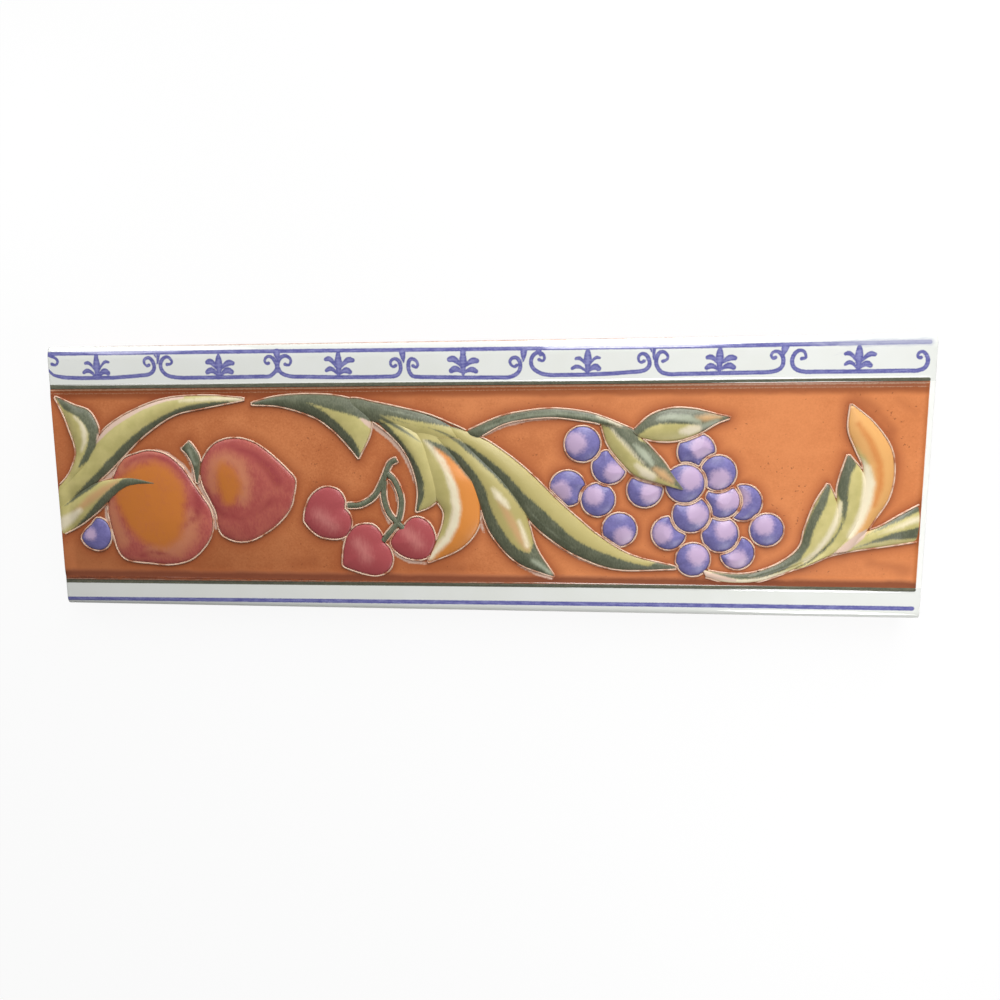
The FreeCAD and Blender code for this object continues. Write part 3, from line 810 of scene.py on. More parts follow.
def blade_edges(name):
    """Both edges of a blade with the same number of points, about 0.4 mm apart."""
    edges = [smooth_line(edge, 0.4) for edge in BLADES[name]]
    even = np.linspace(0, 1, max(len(edge) for edge in edges))
    return [np.stack([np.interp(even, np.linspace(0, 1, len(edge)), edge[:, axis]) for axis in (0, 1)], 1)
            for edge in edges]


def blade_sheet(left, right, rise, tip_lift=0.0, sunk=(0, 0), rows=20):
    """A crowned sheet between two edges. It steps up from the ground, and its ends can dive under others."""
    def lay(u, v):
        station = (u * (len(left) - 1)).round().astype(int)
        share = (1 - np.cos(np.pi * v)) / 2
        across = right[station] - left[station]
        place = left[station] + share[:, None] * across
        width = np.linalg.norm(across, axis=1)
        crown = np.minimum(rise - STEP, NARROW_CROWN * width)
        arch = 1 - (2 * share - 1) ** 2
        step = STEP * np.minimum(arch * 6, 1) ** 0.5 * np.minimum(width, 1)
        lift = tip_lift * np.clip(u * 1.6 - 0.6, 0, 1)
        x = np.clip(place[:, 0], END_INSET - HALF_LENGTH, RIGHT_MARGIN + 0.1)
        flatten = np.clip((HALF_LENGTH - np.abs(x)) / ROOT_RUN, FLATTEST, 1) ** 0.7
        for run, ahead in zip(sunk, (u, 1 - u)):
            if run:
                lift = lift - SINK * (1 - eased(ahead / run))
        z = ground_level(x) - EDGE_OVERLAP + (step + crown * arch) * flatten + lift
        return np.stack([x, place[:, 1], np.maximum(z, LOWEST_TOP)], 1)
    return rooted(laid_sheet(len(left) - 1, rows, lay), SUNK)


def stalk_edges(middle_line):
    """The two edges of a stalk of even width along its middle line."""
    line = smooth_line(middle_line, 0.4)
    run = np.gradient(line, axis=0)
    aside = np.stack([-run[:, 1], run[:, 0]], 1) / np.linalg.norm(run, axis=1)[:, None] * STALK_WIDTH / 2
    return line + aside, line - aside


print("the long leaf has", len(blade_edges("long_leaf")[0]), "stations from root to tip")

# %% [markdown]
# ## Fruit
# A fruit is a low dome cut off by its own outline. Where one fruit or leaf lies over another, the
# lower one was carved away around it, so its outline here is cut back by a small gap.

# %% Outlines of the fruit
PEACHES = [
    [(-87.8, -10), (-87.9, -7), (-86.6, -1), (-83.5, 4.2), (-80, 5.8), (-76.5, 6.5), (-72.5, 5.6),
     (-68.8, 2.6), (-66.4, -1), (-64, -4.6), (-62.3, -7.4), (-61.8, -10.5), (-62.4, -13.8), (-64.7, -17.2),
     (-68, -19.8), (-73, -21), (-78, -20.7), (-83.5, -20.1), (-85.8, -18.3), (-86.9, -14.6)],
    [(-63.6, 4.2), (-62, 6.6), (-59.6, 8.5), (-56, 9.4), (-52.1, 8.9), (-48.5, 7), (-45, 4), (-42.6, 1.6),
     (-41.1, -0.3), (-41.5, -3.5), (-42.7, -7.3), (-45.5, -10.6), (-49.4, -13.4), (-52.5, -14.9),
     (-56, -15.2), (-59.2, -14), (-60.5, -12), (-60.9, -8.4), (-62.3, -5.2), (-63.7, -2.2), (-64.3, 0.6),
     (-64.2, 2.4)],
]
CHERRIES = [
    [(-33.1, -2), (-35.6, -2.6), (-37.8, -4.6), (-39, -7.2), (-39.4, -9.4), (-39.4, -10.2), (-38.9, -11),
     (-37.6, -12.5), (-35.5, -13.9), (-32.5, -14.4), (-29.8, -13.9), (-28.2, -12), (-27.9, -9.8), (-28.6, -8),
     (-29.4, -7.3), (-29.5, -6.9), (-29.4, -5), (-30.7, -2.9)],
    [(-25, -10.7), (-27.2, -11.4), (-29.1, -13.5), (-30.1, -16.5), (-30.45, -19.6), (-30.4, -20.7),
     (-29.6, -21.2), (-27.8, -21.9), (-25, -22.7), (-22, -23), (-19.4, -21.8), (-18.3, -19.4), (-18.8, -16.8),
     (-19.8, -15.5), (-20.4, -15), (-20.5, -14.5), (-20.9, -12.9), (-22.6, -11)],
    [(-13, -9), (-14.6, -9.9), (-15.5, -11), (-16.2, -11.5), (-17.4, -12.5), (-18.5, -14.2), (-18.8, -15),
     (-18.2, -16.6), (-15.8, -18.4), (-12.8, -19.1), (-10.2, -18.6), (-8.7, -16.4), (-8.1, -14), (-9, -11.1),
     (-10.8, -9.4)],
    [(-91.1, -9.8), (-92.6, -11.4), (-94.6, -13.2), (-95.3, -14.9), (-94.1, -16.7), (-92.1, -17.6),
     (-90, -17.6), (-88.3, -16.2), (-87.6, -14), (-88.1, -11.6), (-89.3, -10.1)],
]
GRAPES = [(34.1, -11.6, 3.85), (22.35, -2.2, 4.05), (29.2, -4.8, 3.8), (31.6, 2.6, 3.85), (25.6, 7.8, 4.0),
 (39.6, -2.5, 3.95), (61.2, -5.3, 4.05), (60.3, -16.7, 3.7), (56.4, -12.5, 4.0), (56.7, -5, 3.8),
 (50.7, 6, 4.1), (55.6, 1.3, 3.9), (45.1, -12.3, 3.8), (49.9, -8, 4.1), (48.4, -1.1, 4.3),
 (66.5, -11.4, 3.65), (50.6, -18.3, 3.8)]
GRAPE_UNDER_TIP = 14
print(len(PEACHES), "peaches,", len(CHERRIES), "cherries with the berry, and", len(GRAPES), "grapes")

# %% What shows of a fruit
CARVED_GAP, RAY_STEP = 0.6, 0.05


def circle(x, y, radius, count=64):
    """An outline of a round fruit."""
    turn = np.linspace(0, 2 * np.pi, count, endpoint=False)
    return np.stack([x + radius * np.cos(turn), y + radius * np.sin(turn)], 1)


def seen_outline(outline, cutters, count=72):
    """The part of an outline that no cutter carves away, as even rays from its own middle."""
    (left, bottom), (right, top) = np.min(outline, 0), np.max(outline, 0)
    columns, rows = np.meshgrid(np.linspace(left, right, 40), np.linspace(bottom, top, 40))
    grid = np.stack([columns.ravel(), rows.ravel()], 1)
    room = patch_depth(grid, outline)
    for cutter in cutters:
        room = np.minimum(room, -patch_depth(grid, cutter) - CARVED_GAP)
    heart = grid[room.argmax()]
    rays = []
    reach = np.arange(0, 2 * np.linalg.norm(np.array(outline) - heart, axis=1).max(), RAY_STEP)
    for turn in np.linspace(0, 2 * np.pi, count, endpoint=False):
        places = heart + reach[:, None] * np.array([np.cos(turn), np.sin(turn)])
        free = patch_depth(places, outline) > 0
        for cutter in cutters:
            free &= patch_depth(places, cutter) < -CARVED_GAP
        rays.append(places[max(int(np.argmin(free)) - 1, 1)])
    return heart, np.array(rays)


shown = seen_outline(circle(0, 0, 4), [circle(5, 0, 4)])[1]
print("of a grape 8 mm wide behind another there shows", round(np.ptp(shown[:, 0]), 1), "mm")

# %% Domes
DOME_RINGS = (1.0, 0.985, 0.96, 0.92, 0.86, 0.78, 0.68, 0.56, 0.42, 0.27, 0.12)
RIM_RUN = 0.35


def dome(heart, outline, height):
    """A dome over an outline: rings drawn in from the rim, lifted by a height for each place."""
    made = bmesh.new()
    rim = bmesh.ops.create_circle(made, segments=len(outline), radius=1)["verts"]
    for vertex, point in zip(rim, outline):
        vertex.co = (*point, 0)
    edges = list(made.edges)
    for before, ring in zip(DOME_RINGS, DOME_RINGS[1:]):
        drawn = bmesh.ops.extrude_edge_only(made, edges=edges)["geom"]
        loop = {item for item in drawn if isinstance(item, bmesh.types.BMVert)}
        edges = [item for item in drawn if isinstance(item, bmesh.types.BMEdge) and set(item.verts) <= loop]
        bmesh.ops.scale(made, verts=list(loop), vec=(ring / before, ring / before, 1),
                        space=Matrix.Translation(-Vector((*heart, 0))))
    middle = bmesh.ops.extrude_edge_only(made, edges=edges)["geom"]
    last = [item for item in middle if isinstance(item, bmesh.types.BMVert)]
    bmesh.ops.pointmerge(made, verts=last, merge_co=(*heart, 0))
    places = np.array([vertex.co[:2] for vertex in made.verts])
    for vertex, z in zip(made.verts, height(places, outline)):
        vertex.co.z = z
    return rooted(made, SUNK)


def pillow(rise, soft):
    """A height that steps up at the rim and swells gently inwards."""
    def height(places, outline):
        inside = np.maximum(patch_depth(places, outline), 0)
        step = STEP * np.minimum(inside / RIM_RUN, 1) ** 0.5
        return GROUND - EDGE_OVERLAP + step + (rise - STEP) * (1 - np.exp(-inside / soft))
    return height


print("a dome is drawn in from its rim by", len(DOME_RINGS), "rings")

# %% [markdown]
# ## Where the motifs lie
# Each motif has one outline. The outlines steer three things: where the pale ridge runs, how far the
# brown halo on the ground reaches, and which parts of a lower fruit are carved away.

# %% Outlines of every motif
edge_pairs = {name: blade_edges(name) for name in BLADES}
edge_pairs |= {f"stalk_{i}": stalk_edges(line) for i, line in enumerate(STALKS)}
outlines = {name: np.vstack([left, right[::-1]]) for name, (left, right) in edge_pairs.items()}
hearts = {}
fruit_outlines = {f"peach_{i}": smooth_line(shape, 0.5, True) for i, shape in enumerate(PEACHES)}
fruit_outlines |= {f"cherry_{i}": smooth_line(shape, 0.4, True) for i, shape in enumerate(CHERRIES)}
for name, shape in fruit_outlines.items():
    hearts[name], outlines[name] = seen_outline(shape, [], 110)
grape_rounds = [circle(*grape) for grape in GRAPES]
for index, (x, y, radius) in enumerate(GRAPES):
    near = [other for other, (a, b, r) in zip(grape_rounds[index + 1:], GRAPES[index + 1:])
            if math.hypot(a - x, b - y) < r + radius + 1]
    if index != GRAPE_UNDER_TIP:
        near += [outlines[leaf] for leaf in ("hanging_leaf", "side_leaf", "trailing_lobe")
                 if patch_depth(np.array([(x, y)]), outlines[leaf])[0] > -radius - 1]
    hearts[f"grape_{index}"], outlines[f"grape_{index}"] = seen_outline(grape_rounds[index], near)
print(len(outlines), "motifs")

# %% [markdown]
# ## Leaf glazes
# Leaves were painted light green first. Dark green was laid along one side and pulled out in fine
# hatching, and cream, tan, grey and orange were touched in while the ground was wet.

# %% Patches of the left leaves
LEFT_PATCHES = {
    "dark": [
        [(-99, 19.3), (-97.1, 16.3), (-95, 15.4), (-93.2, 14.5), (-91.7, 12.7), (-90.8, 10.6), (-91.1, 8.8),
         (-92, 6.4), (-93.2, 4.6), (-94.3, 2.4), (-91.8, 4), (-89.6, 7.6), (-88, 11), (-88, 14), (-91, 17.3),
         (-95, 18.6), (-98.9, 20)],
        [(-56, 17.9), (-60, 17.8), (-65, 17.2), (-68, 16.45), (-70, 15.7), (-72.5, 14.65), (-75, 13.3),
         (-77.6, 11.65), (-80, 10), (-83, 7.6), (-85, 5.65), (-86.9, 4), (-89, 1.9), (-91.1, 0.1),
         (-93.5, -2), (-95.6, -3.8), (-97.4, -5.6), (-99, -7), (-95.4, -5), (-91, -2.4), (-86.6, 0.9),
         (-82.5, 4.4), (-77, 9.4), (-70, 13.8), (-64, 15.4), (-56, 17)],
        [(-74.8, -0.9), (-79.8, 0.4), (-83, -0.1), (-85, -1.5), (-87.5, -3.5), (-90, -5.7), (-92, -7.7),
         (-94.4, -10.1), (-96.5, -11.9), (-99, -14), (-95.6, -12.9), (-91.1, -9.6), (-87.5, -6.6),
         (-83.6, -3.8), (-80, -2.4), (-75.3, -2)],
    ],
    "pink": [
        [(-89.6, 8), (-88.1, 9.1), (-86, 10.9), (-83.9, 12.4), (-80, 14.65), (-77, 16.15), (-74, 17.2),
         (-71, 18.1), (-67, 18.6), (-67, 19.6), (-71, 19.6), (-77, 18.2), (-83, 15.4), (-87, 12.9),
         (-89.2, 10.4)],
    ],
    "cream": [
        [(-68, 18.1, 0.2), (-62, 18.4, 0.6), (-57, 18.5, 0.8), (-52.5, 18.3, 0.8)],
        [(-94, 14.6, 0.4), (-92.3, 13, 0.9), (-91.7, 10.8, 1.2), (-92, 8.6, 0.9), (-93, 6.6, 0.4)],
        [(-100.5, -11.5, 3), (-97.5, -9.9, 2.2), (-94.5, -7.8, 1.2)],
    ],
    "tan": [[(-96, -8.6, 0.9), (-92, -5.4, 2), (-88, -2.8, 1.9), (-84.6, -1, 0.9)]],
}
print("the left leaves have", ", ".join(LEFT_PATCHES))

# %% Patches of the middle leaf
MIDDLE_PATCHES = {
    "light": [
        [(-37.5, 17.5), (-35, 16.9), (-32, 16), (-29, 15.25), (-26.5, 14.5), (-24, 13.4), (-21.5, 12.6),
         (-21.5, 8), (-24.9, 4.6), (-25.9, 7.6), (-26.9, 9.4), (-29, 11.5), (-30.8, 13.3), (-33, 15.1),
         (-35, 16.3)],
        [(-20.3, 14.4), (-18, 14.3), (-15, 13.7), (-10, 12.8), (-5, 12), (-2.5, 11.4), (0, 11), (2.5, 10.4),
         (5, 9.2), (7.5, 7.6), (10.2, 5.6), (15, 1.4), (20, -3.6), (25, -8.2), (30, -12.3), (35, -15.5),
         (40, -17.8), (42.5, -19), (40.5, -20), (37.5, -19.2), (35, -18.5), (32.4, -17.6), (30, -16.7),
         (27.9, -15.8), (25, -14.3), (22.5, -12.5), (20, -10.1), (18, -8.3), (15, -5.5), (12, -2.8),
         (10, -0.5), (7.5, 2), (5, 4), (2.5, 5.8), (0, 7.6), (-2.5, 8.8), (-5, 10), (-8.3, 11.3),
         (-12, 11.9)],
        [(-20, 14.1), (-12, 12.4), (-8.3, 11.5), (-5, 10), (-2.5, 8.3), (-1.6, 7.3), (0.9, 5.2), (3.6, 2.7),
         (6.3, 0.2), (9.6, -3.5), (13.2, -8.5), (14.2, -11), (14.6, -14.5), (13.9, -17.2), (11.4, -16.4),
         (9, -14), (7, -11), (5.4, -8), (4.5, -5.6), (3.7, -2.5), (2, 0.5), (0, 3.2), (-2.5, 5.7), (-5, 7.2),
         (-7.5, 8.2), (-9.5, 9), (-10.4, 8.6), (-11.2, 8.2), (-13, 9.8), (-15, 11.1), (-17.5, 12.6)],
        [(-20.7, 13.4), (-18, 11.5), (-15, 8), (-13, 5.2), (-11.3, 1.8), (-10.5, -1), (-10.5, -4),
         (-11.1, -5.6), (-12, -7.4), (-11, -8.5), (-7, -7), (-6.2, -9.2), (-7.3, -12.5), (-9.5, -17),
         (-7.9, -16.7), (-5, -13.7), (-3.4, -10.4), (-2.7, -6.8), (-2.8, -2.9), (-4, 0.4), (-6, 4), (-8.4, 7),
         (-10.1, 8.8), (-11.2, 8.4), (-13, 9.9), (-15, 11.2), (-17.5, 12.6), (-20, 14)],
    ],
    "dark": [
        [(-20.5, 14.1, 0.8), (-17.5, 12.5, 0.8), (-15, 11, 0.65), (-13, 9.7, 0.3), (-11, 8.3, -0.2)],
        [(-8.8, 11.6, -0.2), (-7, 10.9, 0.2), (-5, 10, 0.4), (-2.5, 8.4, 0.6), (0, 6.7, 0.7)],
        [(2.6, -7, 0.4), (2.8, -9.5, 0.6)],
    ],
    "orange": [
        [(-8.2, 7.3), (-6.9, 6.7), (-5, 5.3), (-2.6, 2.9), (-0.3, 0.2), (2, -2), (3.4, -6.8), (3.6, -11.8),
         (-1.2, -18.2), (-7, -21.2), (-10.9, -20.8), (-9.5, -17), (-5.8, -13.7), (-4.2, -10.4), (-3.6, -6.8),
         (-3.7, -2.9), (-4.8, 0.4), (-6.6, 3.8), (-7.8, 5.9)],
    ],
    "cream": [
        [(-10.2, 8.7, 0.2), (-8.6, 7.1, 0.9), (-6.2, 4.1, 1.2), (-4.6, 0.6, 1.5), (-3.4, -3, 1.9),
         (-2.9, -6.8, 2.1), (-3.6, -10.4, 2), (-5.2, -13.7, 1.8), (-7.9, -16.7, 1.5), (-9.6, -18.8, 1)],
        [(5.4, -2.2, 0.5), (6.6, -3.8, 1.4), (8, -5.3, 1.3), (9, -6.6, 0.5)],
        [(11.3, -9.6, 0.4), (12.4, -12.5, 0.8), (13.2, -15.4, 0.9)],
    ],
    "tan": [[(6.8, -4.8, 0.5), (8.4, -7.6, 1.5), (10.2, -10.8, 1.7), (11.9, -13.8, 1.7), (13.2, -16, 1)]],
    "grey": [
        [(-19.5, 15.8, -0.7), (-17, 15.3, -0.2), (-14, 14.6, -0.2), (-10.5, 13.7, -0.7)],
        [(14.5, -18.8, 0.8), (16.5, -20.2, 1), (18.4, -21.8, 0.7)],
        [(12, -5.5, -0.6), (15.5, -9.2, -0.3), (20, -13.2, -0.3), (25, -16.6, -0.6)],
    ],
    "pink": [
        [(-24.8, 13.8, 0.5), (-23.2, 12.6, 1.3), (-21.5, 11.1, 1), (-19.3, 9.2, 0.5), (-17.4, 7.3, 0.3)],
    ],
}
print("the middle leaf has", ", ".join(MIDDLE_PATCHES))

# %% Patches of the sprig
SPRIG_PATCHES = {
    "light": [
        [(29.2, 12.4), (32.1, 11.05), (33.6, 9.1), (35.4, 7.3), (37.2, 5.2), (39, 3.4), (40.5, 1.9),
         (43, 0.2), (46.5, -1.6), (47.7, -3), (42, -1.7), (37, -0.4), (33, 3.6), (30, 7.6), (28.6, 10.9)],
        [(38, 9.9), (39.2, 10.75), (40.5, 11.65), (42.9, 12.25), (45, 12.4), (47.4, 12.3), (49.5, 12.1),
         (51.6, 11.6), (51, 9), (46.5, 7.4), (42, 7.2), (38, 8.7)],
    ],
    "cream": [
        [(37.6, 3.2, 0.9), (39.2, 1.7, 2), (41, 0.6, 1.6)],
        [(32.1, 11.1, 0.3), (33.6, 9.1, 0.35), (35.4, 7.3, 0.4), (37.2, 5.2, 0.4), (39, 3.4, 0.3)],
        [(47.2, 10.6, 1), (49, 10.8, 2), (51, 11.3, 1.4)],
        [(29, 13.9, 0.2), (31, 13.2, 0.3), (34, 11.9, 0.2)],
    ],
    "tan": [
        [(41.6, 2.2, 1), (43, 1.2, 1.8), (45.2, -0.4, 0.9)],
        [(50.5, 13.3, 0.7), (52.5, 13.5, 1.5), (55.3, 13.6, 0.8)],
    ],
    "grey": [
        [(37.1, 7.6, 0.6), (38.6, 6.2, 1.5), (40, 4.6, 1.4), (41, 3.3, 0.7)],
        [(42, 13.4, 0.4), (45, 13.7, 1.2), (48.5, 13.4, 1.4), (51, 12.6, 0.9)],
        [(52, 11.7, 1), (55, 12.7, 1)],
        [(3.5, 11.1, 0.1), (8, 12.9, 0.35), (14, 14.2, 0.5), (20, 14.6, 0.5), (26, 14, 0.3), (31, 12.9, 0.1)],
    ],
}
print("the sprig has", ", ".join(SPRIG_PATCHES))

# %% Patches of the right leaves
RIGHT_PATCHES = {
    "dark": [
        [(55, -21.3, 0.4), (58, -21.9, 0.9), (62, -22, 1.3), (66, -21.2, 1.6), (70, -19.6, 1.9),
         (73, -17.4, 2), (74.8, -14.5, 1.7), (75.6, -11, 1.7), (76.7, -8, 1.8), (78, -5, 1.8),
         (79.2, -1.6, 1.2)],
        [(83.1, 5.6), (82, 4), (81, 1), (80.9, -1.4), (81.2, -3.8), (82.2, -5), (82.3, -9.2), (81.4, -11.8),
         (80, -14), (77.6, -16.6), (75.2, -18.7), (73.2, -19.8), (76, -18.6), (79.2, -15.8), (81, -13.4),
         (82.2, -11), (83.1, -8), (83.3, -5), (83.2, -2), (83.6, 1), (84.8, 3.2), (84.3, 4.8)],
        [(87.5, -12.5, -0.3), (91, -10.6, 0.4), (94.5, -8.4, 1.1), (97, -6.8, 1.7), (101, -4.6, 2.4)],
        [(85, -15.4, -0.3), (89.5, -13.6, 0.7), (93.5, -12.4, 1.5), (97, -11.9, 2.3), (101, -11.4, 3)],
    ],
    "apricot": [
        [(83.1, 17), (85.5, 15.4), (90, 11.8), (93, 7), (94, 1.6), (93.2, -4.5), (90, -9.6), (88.2, -11.5),
         (85.5, -13.5), (84.8, -12.5), (86.6, -8), (88, -3.5), (88, 1), (86.6, 4.6), (84.9, 6.6), (82, 9),
         (81.5, 13), (82, 16)],
    ],
    "deep": [[(84.6, 12, 0.6), (87, 8.6, 1), (89.3, 3.5, 1.3), (89.8, -1, 1.2), (88.8, -5.5, 0.9)]],
    "cream": [
        [(85.3, 4.6, 0.5), (86.9, 2.4, 1.5), (87.5, -1, 2.3), (87.2, -5, 2.1), (86, -9, 1.8),
         (84.3, -12.5, 1.3)],
        [(82, -5, 0.7), (81.6, -7.7, 1.2), (80.6, -10.7, 1.4), (79.3, -13.1, 1.2), (77.1, -16.5, 1),
         (75, -18.2, 0.8)],
        [(52.8, -21.5, 1.8), (57, -22.7, 1.3), (62, -23, 1.2), (67, -22.2, 1), (71, -21.1, 0.7)],
        [(90, -12.2, -0.4), (93.5, -10.6, 0.3), (97, -9.1, 0.9), (101, -7.8, 1.4)],
    ],
    "pink": [
        [(81, -17, 0.9), (84, -14.6, 1.9), (86.5, -12.4, 1.7), (87.6, -11.3, 0.7)],
        [(52.8, -21.6, 1.7), (56, -22.2, 1.3), (60, -22.9, 0.6)],
    ],
}
print("the right leaves have", ", ".join(RIGHT_PATCHES))

# %% Leaf glaze
KINDS = ("light", "dark", "orange", "apricot", "deep", "tan", "cream", "grey", "pink")
ALL_OVER, UNSHADED = 9.0, -99.0
leaf = Finish("painted_leaf_glaze", Roughness=0.42)
hatch, soft = leaf.noise(0.3, 2, (1, 0.4, 1), 35), leaf.noise(2.6, 3)
body_green = leaf.mix(leaf.ramp(soft, -0.25, 0.3), (186, 176, 112), (202, 190, 127))
# painted shade: the middle leaf's green is painted duller towards its right end
body_green = leaf.mix(leaf.ramp(leaf.depth("along"), -22, 12, 0.85), body_green, (176, 162, 101))
dark_green = leaf.mix(leaf.ramp(hatch + soft * 0.6, -0.25, 0.45), (86, 91, 71), (116, 119, 96))
leaf.shown = dark_green
leaf.lay(leaf.depth("light") + hatch * 0.9 + soft * 0.3, -0.3, 0.4, body_green)
for kind, edge, shade in (("orange", 0.5, (216, 136, 60)), ("apricot", 0.7, (224, 168, 102)),
                          ("deep", 0.9, (208, 130, 66)), ("tan", 0.9, (198, 158, 110)),
                          ("cream", 0.7, (234, 222, 192)), ("grey", 0.6, (158, 164, 142))):
    leaf.lay(leaf.depth(kind) + hatch * 0.5 + soft * 0.5, -edge, edge, shade)
leaf.lay(leaf.depth("dark") + hatch * 0.8 + soft * 0.3, -0.3, 0.35, dark_green)
leaf.lay(leaf.depth("pink") + hatch * 0.3, -0.2, 0.25, (214, 186, 168))
leaf.lay(leaf.depth("rim") + hatch * 0.3, 0.3, 0.0, (170, 140, 112), 0.3)
leaf.feed("Base Color", leaf.shown)
leaf.bump(soft + hatch * 0.1, 0.06)
print("the leaf glaze takes", len(leaf.tree.nodes), "nodes")

# %% Leaves and stalks
def leaf_paint(patches, light_all, outline, shaded=False):
    """The depths of one leaf's patches. A leaf that is light all over needs no light patch.
    A shaded leaf also keeps its place along the border, for its painted shade.
    """
    def paints(places):
        depths = {kind: painted_depth(places, patches.get(kind, [])) for kind in KINDS}
        if light_all:
            depths["light"] = np.full(len(places), ALL_OVER)
        along = places[:, 0] if shaded else np.full(len(places), UNSHADED)
        return depths | {"rim": patch_depth(places, outline), "along": along}
    return paints


CLUSTERS = {
    "left": (LEFT_PATCHES, True, ("curled_leaf", "long_leaf", "lower_leaf")),
    "middle": (MIDDLE_PATCHES, False, ("hooked_lobe", "spine", "inner_lobe", "orange_lobe", "lower_lobe",
                                       "trailing_lobe")),
    "sprig": (SPRIG_PATCHES, False, ("vine", "hanging_leaf", "side_leaf")),
    "right": (RIGHT_PATCHES, True, ("branch", "running_leaf", "first_point", "second_point", "third_point")),
    "stub": ({"grey": [[(-66.5, 6.5, 0.5), (-65.3, 3.4, 0.5)]]}, False, ("stub",)),
}
for cluster, (patches, light_all, names) in CLUSTERS.items():
    for name in names:
        rise = STEM_RISE if name in STEMS else LEAF_RISE
        sheet = blade_sheet(*edge_pairs[name], rise, LIFTED_TIPS.get(name, 0), SUNK_ENDS.get(name, (0, 0)))
        own = {kind: shapes for kind, shapes in patches.items() if kind != "orange" or name == "orange_lobe"}
        piece(name, [sheet], leaf, leaf_paint(own, light_all, outlines[name], cluster == "middle"))
stalks = [blade_sheet(*edge_pairs[f"stalk_{i}"], STEM_RISE, rows=10) for i in range(len(STALKS))]
stalk_lights = [smooth_line([(x - 0.15, y + 0.2, -0.45) for x, y in line], 0.4) for line in STALKS]
round_the_stalks = circle(-20, -5, 40)
piece("cherry_stalks", stalks, leaf, leaf_paint({"grey": stalk_lights}, False, round_the_stalks))

# %% [markdown]
# ## Peaches and cherries
# Their colour was stippled on wet: a red skin, salmon where it thins, an orange cheek and a darker
# fold. All the edges are soft here, so each patch fades over a millimetre or more.

# %% Peach glaze
PEACH_RISE, CHERRY_RISE, GRAPE_RISE = 1.45, 1.1, 1.25
peach = Finish("peach_glaze", Roughness=0.42)
stipple, drift = peach.noise(0.4, 3, (1, 0.4, 1), 35), peach.noise(4.5, 3)
peach.shown = peach.mix(peach.ramp(drift + stipple * 0.6, -0.3, 0.3), (166, 75, 70), (184, 97, 86))
for kind, edge, shade in (("salmon", 1.8, (200, 127, 94)), ("wine", 0.9, (152, 61, 62)),
                          ("orange", 1.5, (200, 119, 51))):
    peach.lay(peach.depth(kind) + stipple * 1.6 + drift * 2, -edge, edge, shade)
peach.lay(stipple + drift, -0.1, 0.4, (188, 104, 74), 0.3)
peach.lay(peach.depth("rim") + stipple * 0.4, 0.4, 0.0, (176, 104, 84), 0.3)
peach.feed("Base Color", peach.shown)
peach.bump(drift + stipple * 0.15, 0.06)
print("the peach glaze takes", len(peach.tree.nodes), "nodes")

# %% Peaches
PEACH_PATCHES = [
    {
        "orange": [
            [(-82.2, 1.4), (-79, 3.4), (-75, 3.8), (-71.5, 2.4), (-68.8, -1), (-67.8, -5), (-68.2, -10),
             (-69.8, -14.4), (-73.6, -16.8), (-78.5, -15.8), (-82.8, -11.6), (-85.4, -6), (-85.6, -1)],
        ],
        "salmon": [
            [(-66.5, -9, 3), (-67.5, -13.6, 4), (-71, -17, 4), (-77, -17.5, 3)],
            [(-86.8, -6, 2.4), (-86.2, -11, 3), (-84.5, -15, 3.6)],
            [(-83.5, 2.5, 1.6), (-79, 4.6, 1), (-75, 5.2, 0.8)],
        ],
        "wine": [
            [(-82.5, 2.8, 0.6), (-80, 4.6, 0.9), (-76, 5.2, 1.1), (-72, 4.4, 1.2), (-69, 2.2, 1.2),
             (-67, -0.5, 1)],
            [(-65.2, -3, 1.8), (-64.6, -6.3, 2.6), (-65.6, -9.2, 1.4), (-68.4, -11.3, 0.5)],
            [(-80, -18.8, 0.3), (-77, -17.9, 0.6), (-73, -18.6, 0.3)],
        ],
    },
    {
        "orange": [[(-58, 2.8, 2), (-57.4, 0.8, 5), (-56.9, -1.9, 6), (-57, -4.4, 4)]],
        "salmon": [
            [(-60.8, -2.5, 2), (-61, 0.5, 2.6), (-60, 3.4, 3), (-57, 4.8, 3), (-54, 3, 3), (-52.8, -1, 3),
             (-53.6, -4.6, 3)],
        ],
        "wine": [
            [(-63, -3, 0.9), (-61.4, -6.4, 1), (-59, -8.5, 0.9), (-54, -9.3, 0.7), (-50, -7.4, 0.6),
             (-46, -5, 0.8)],
            [(-56, 7.6, 1), (-50.5, 5.6, 1.6), (-47, 2.6, 2.4), (-45, -0.5, 2.6)],
        ],
    },
]


def fruit_paint(patches, rims):
    """The depths of the patches on some fruit, and how far each place lies inside their rims."""
    def paints(places):
        return {kind: painted_depth(places, shapes) for kind, shapes in (patches | {"rim": rims}).items()}
    return paints


def domes(names, rise, soft):
    """One dome for each of the named fruits."""
    return [dome(hearts[name], outlines[name], pillow(rise, soft)) for name in names]


for index, patches in enumerate(PEACH_PATCHES):
    name = f"peach_{index}"
    piece(f"peach_{index + 1}", domes([name], PEACH_RISE, 4.5), peach, fruit_paint(patches, [outlines[name]]))

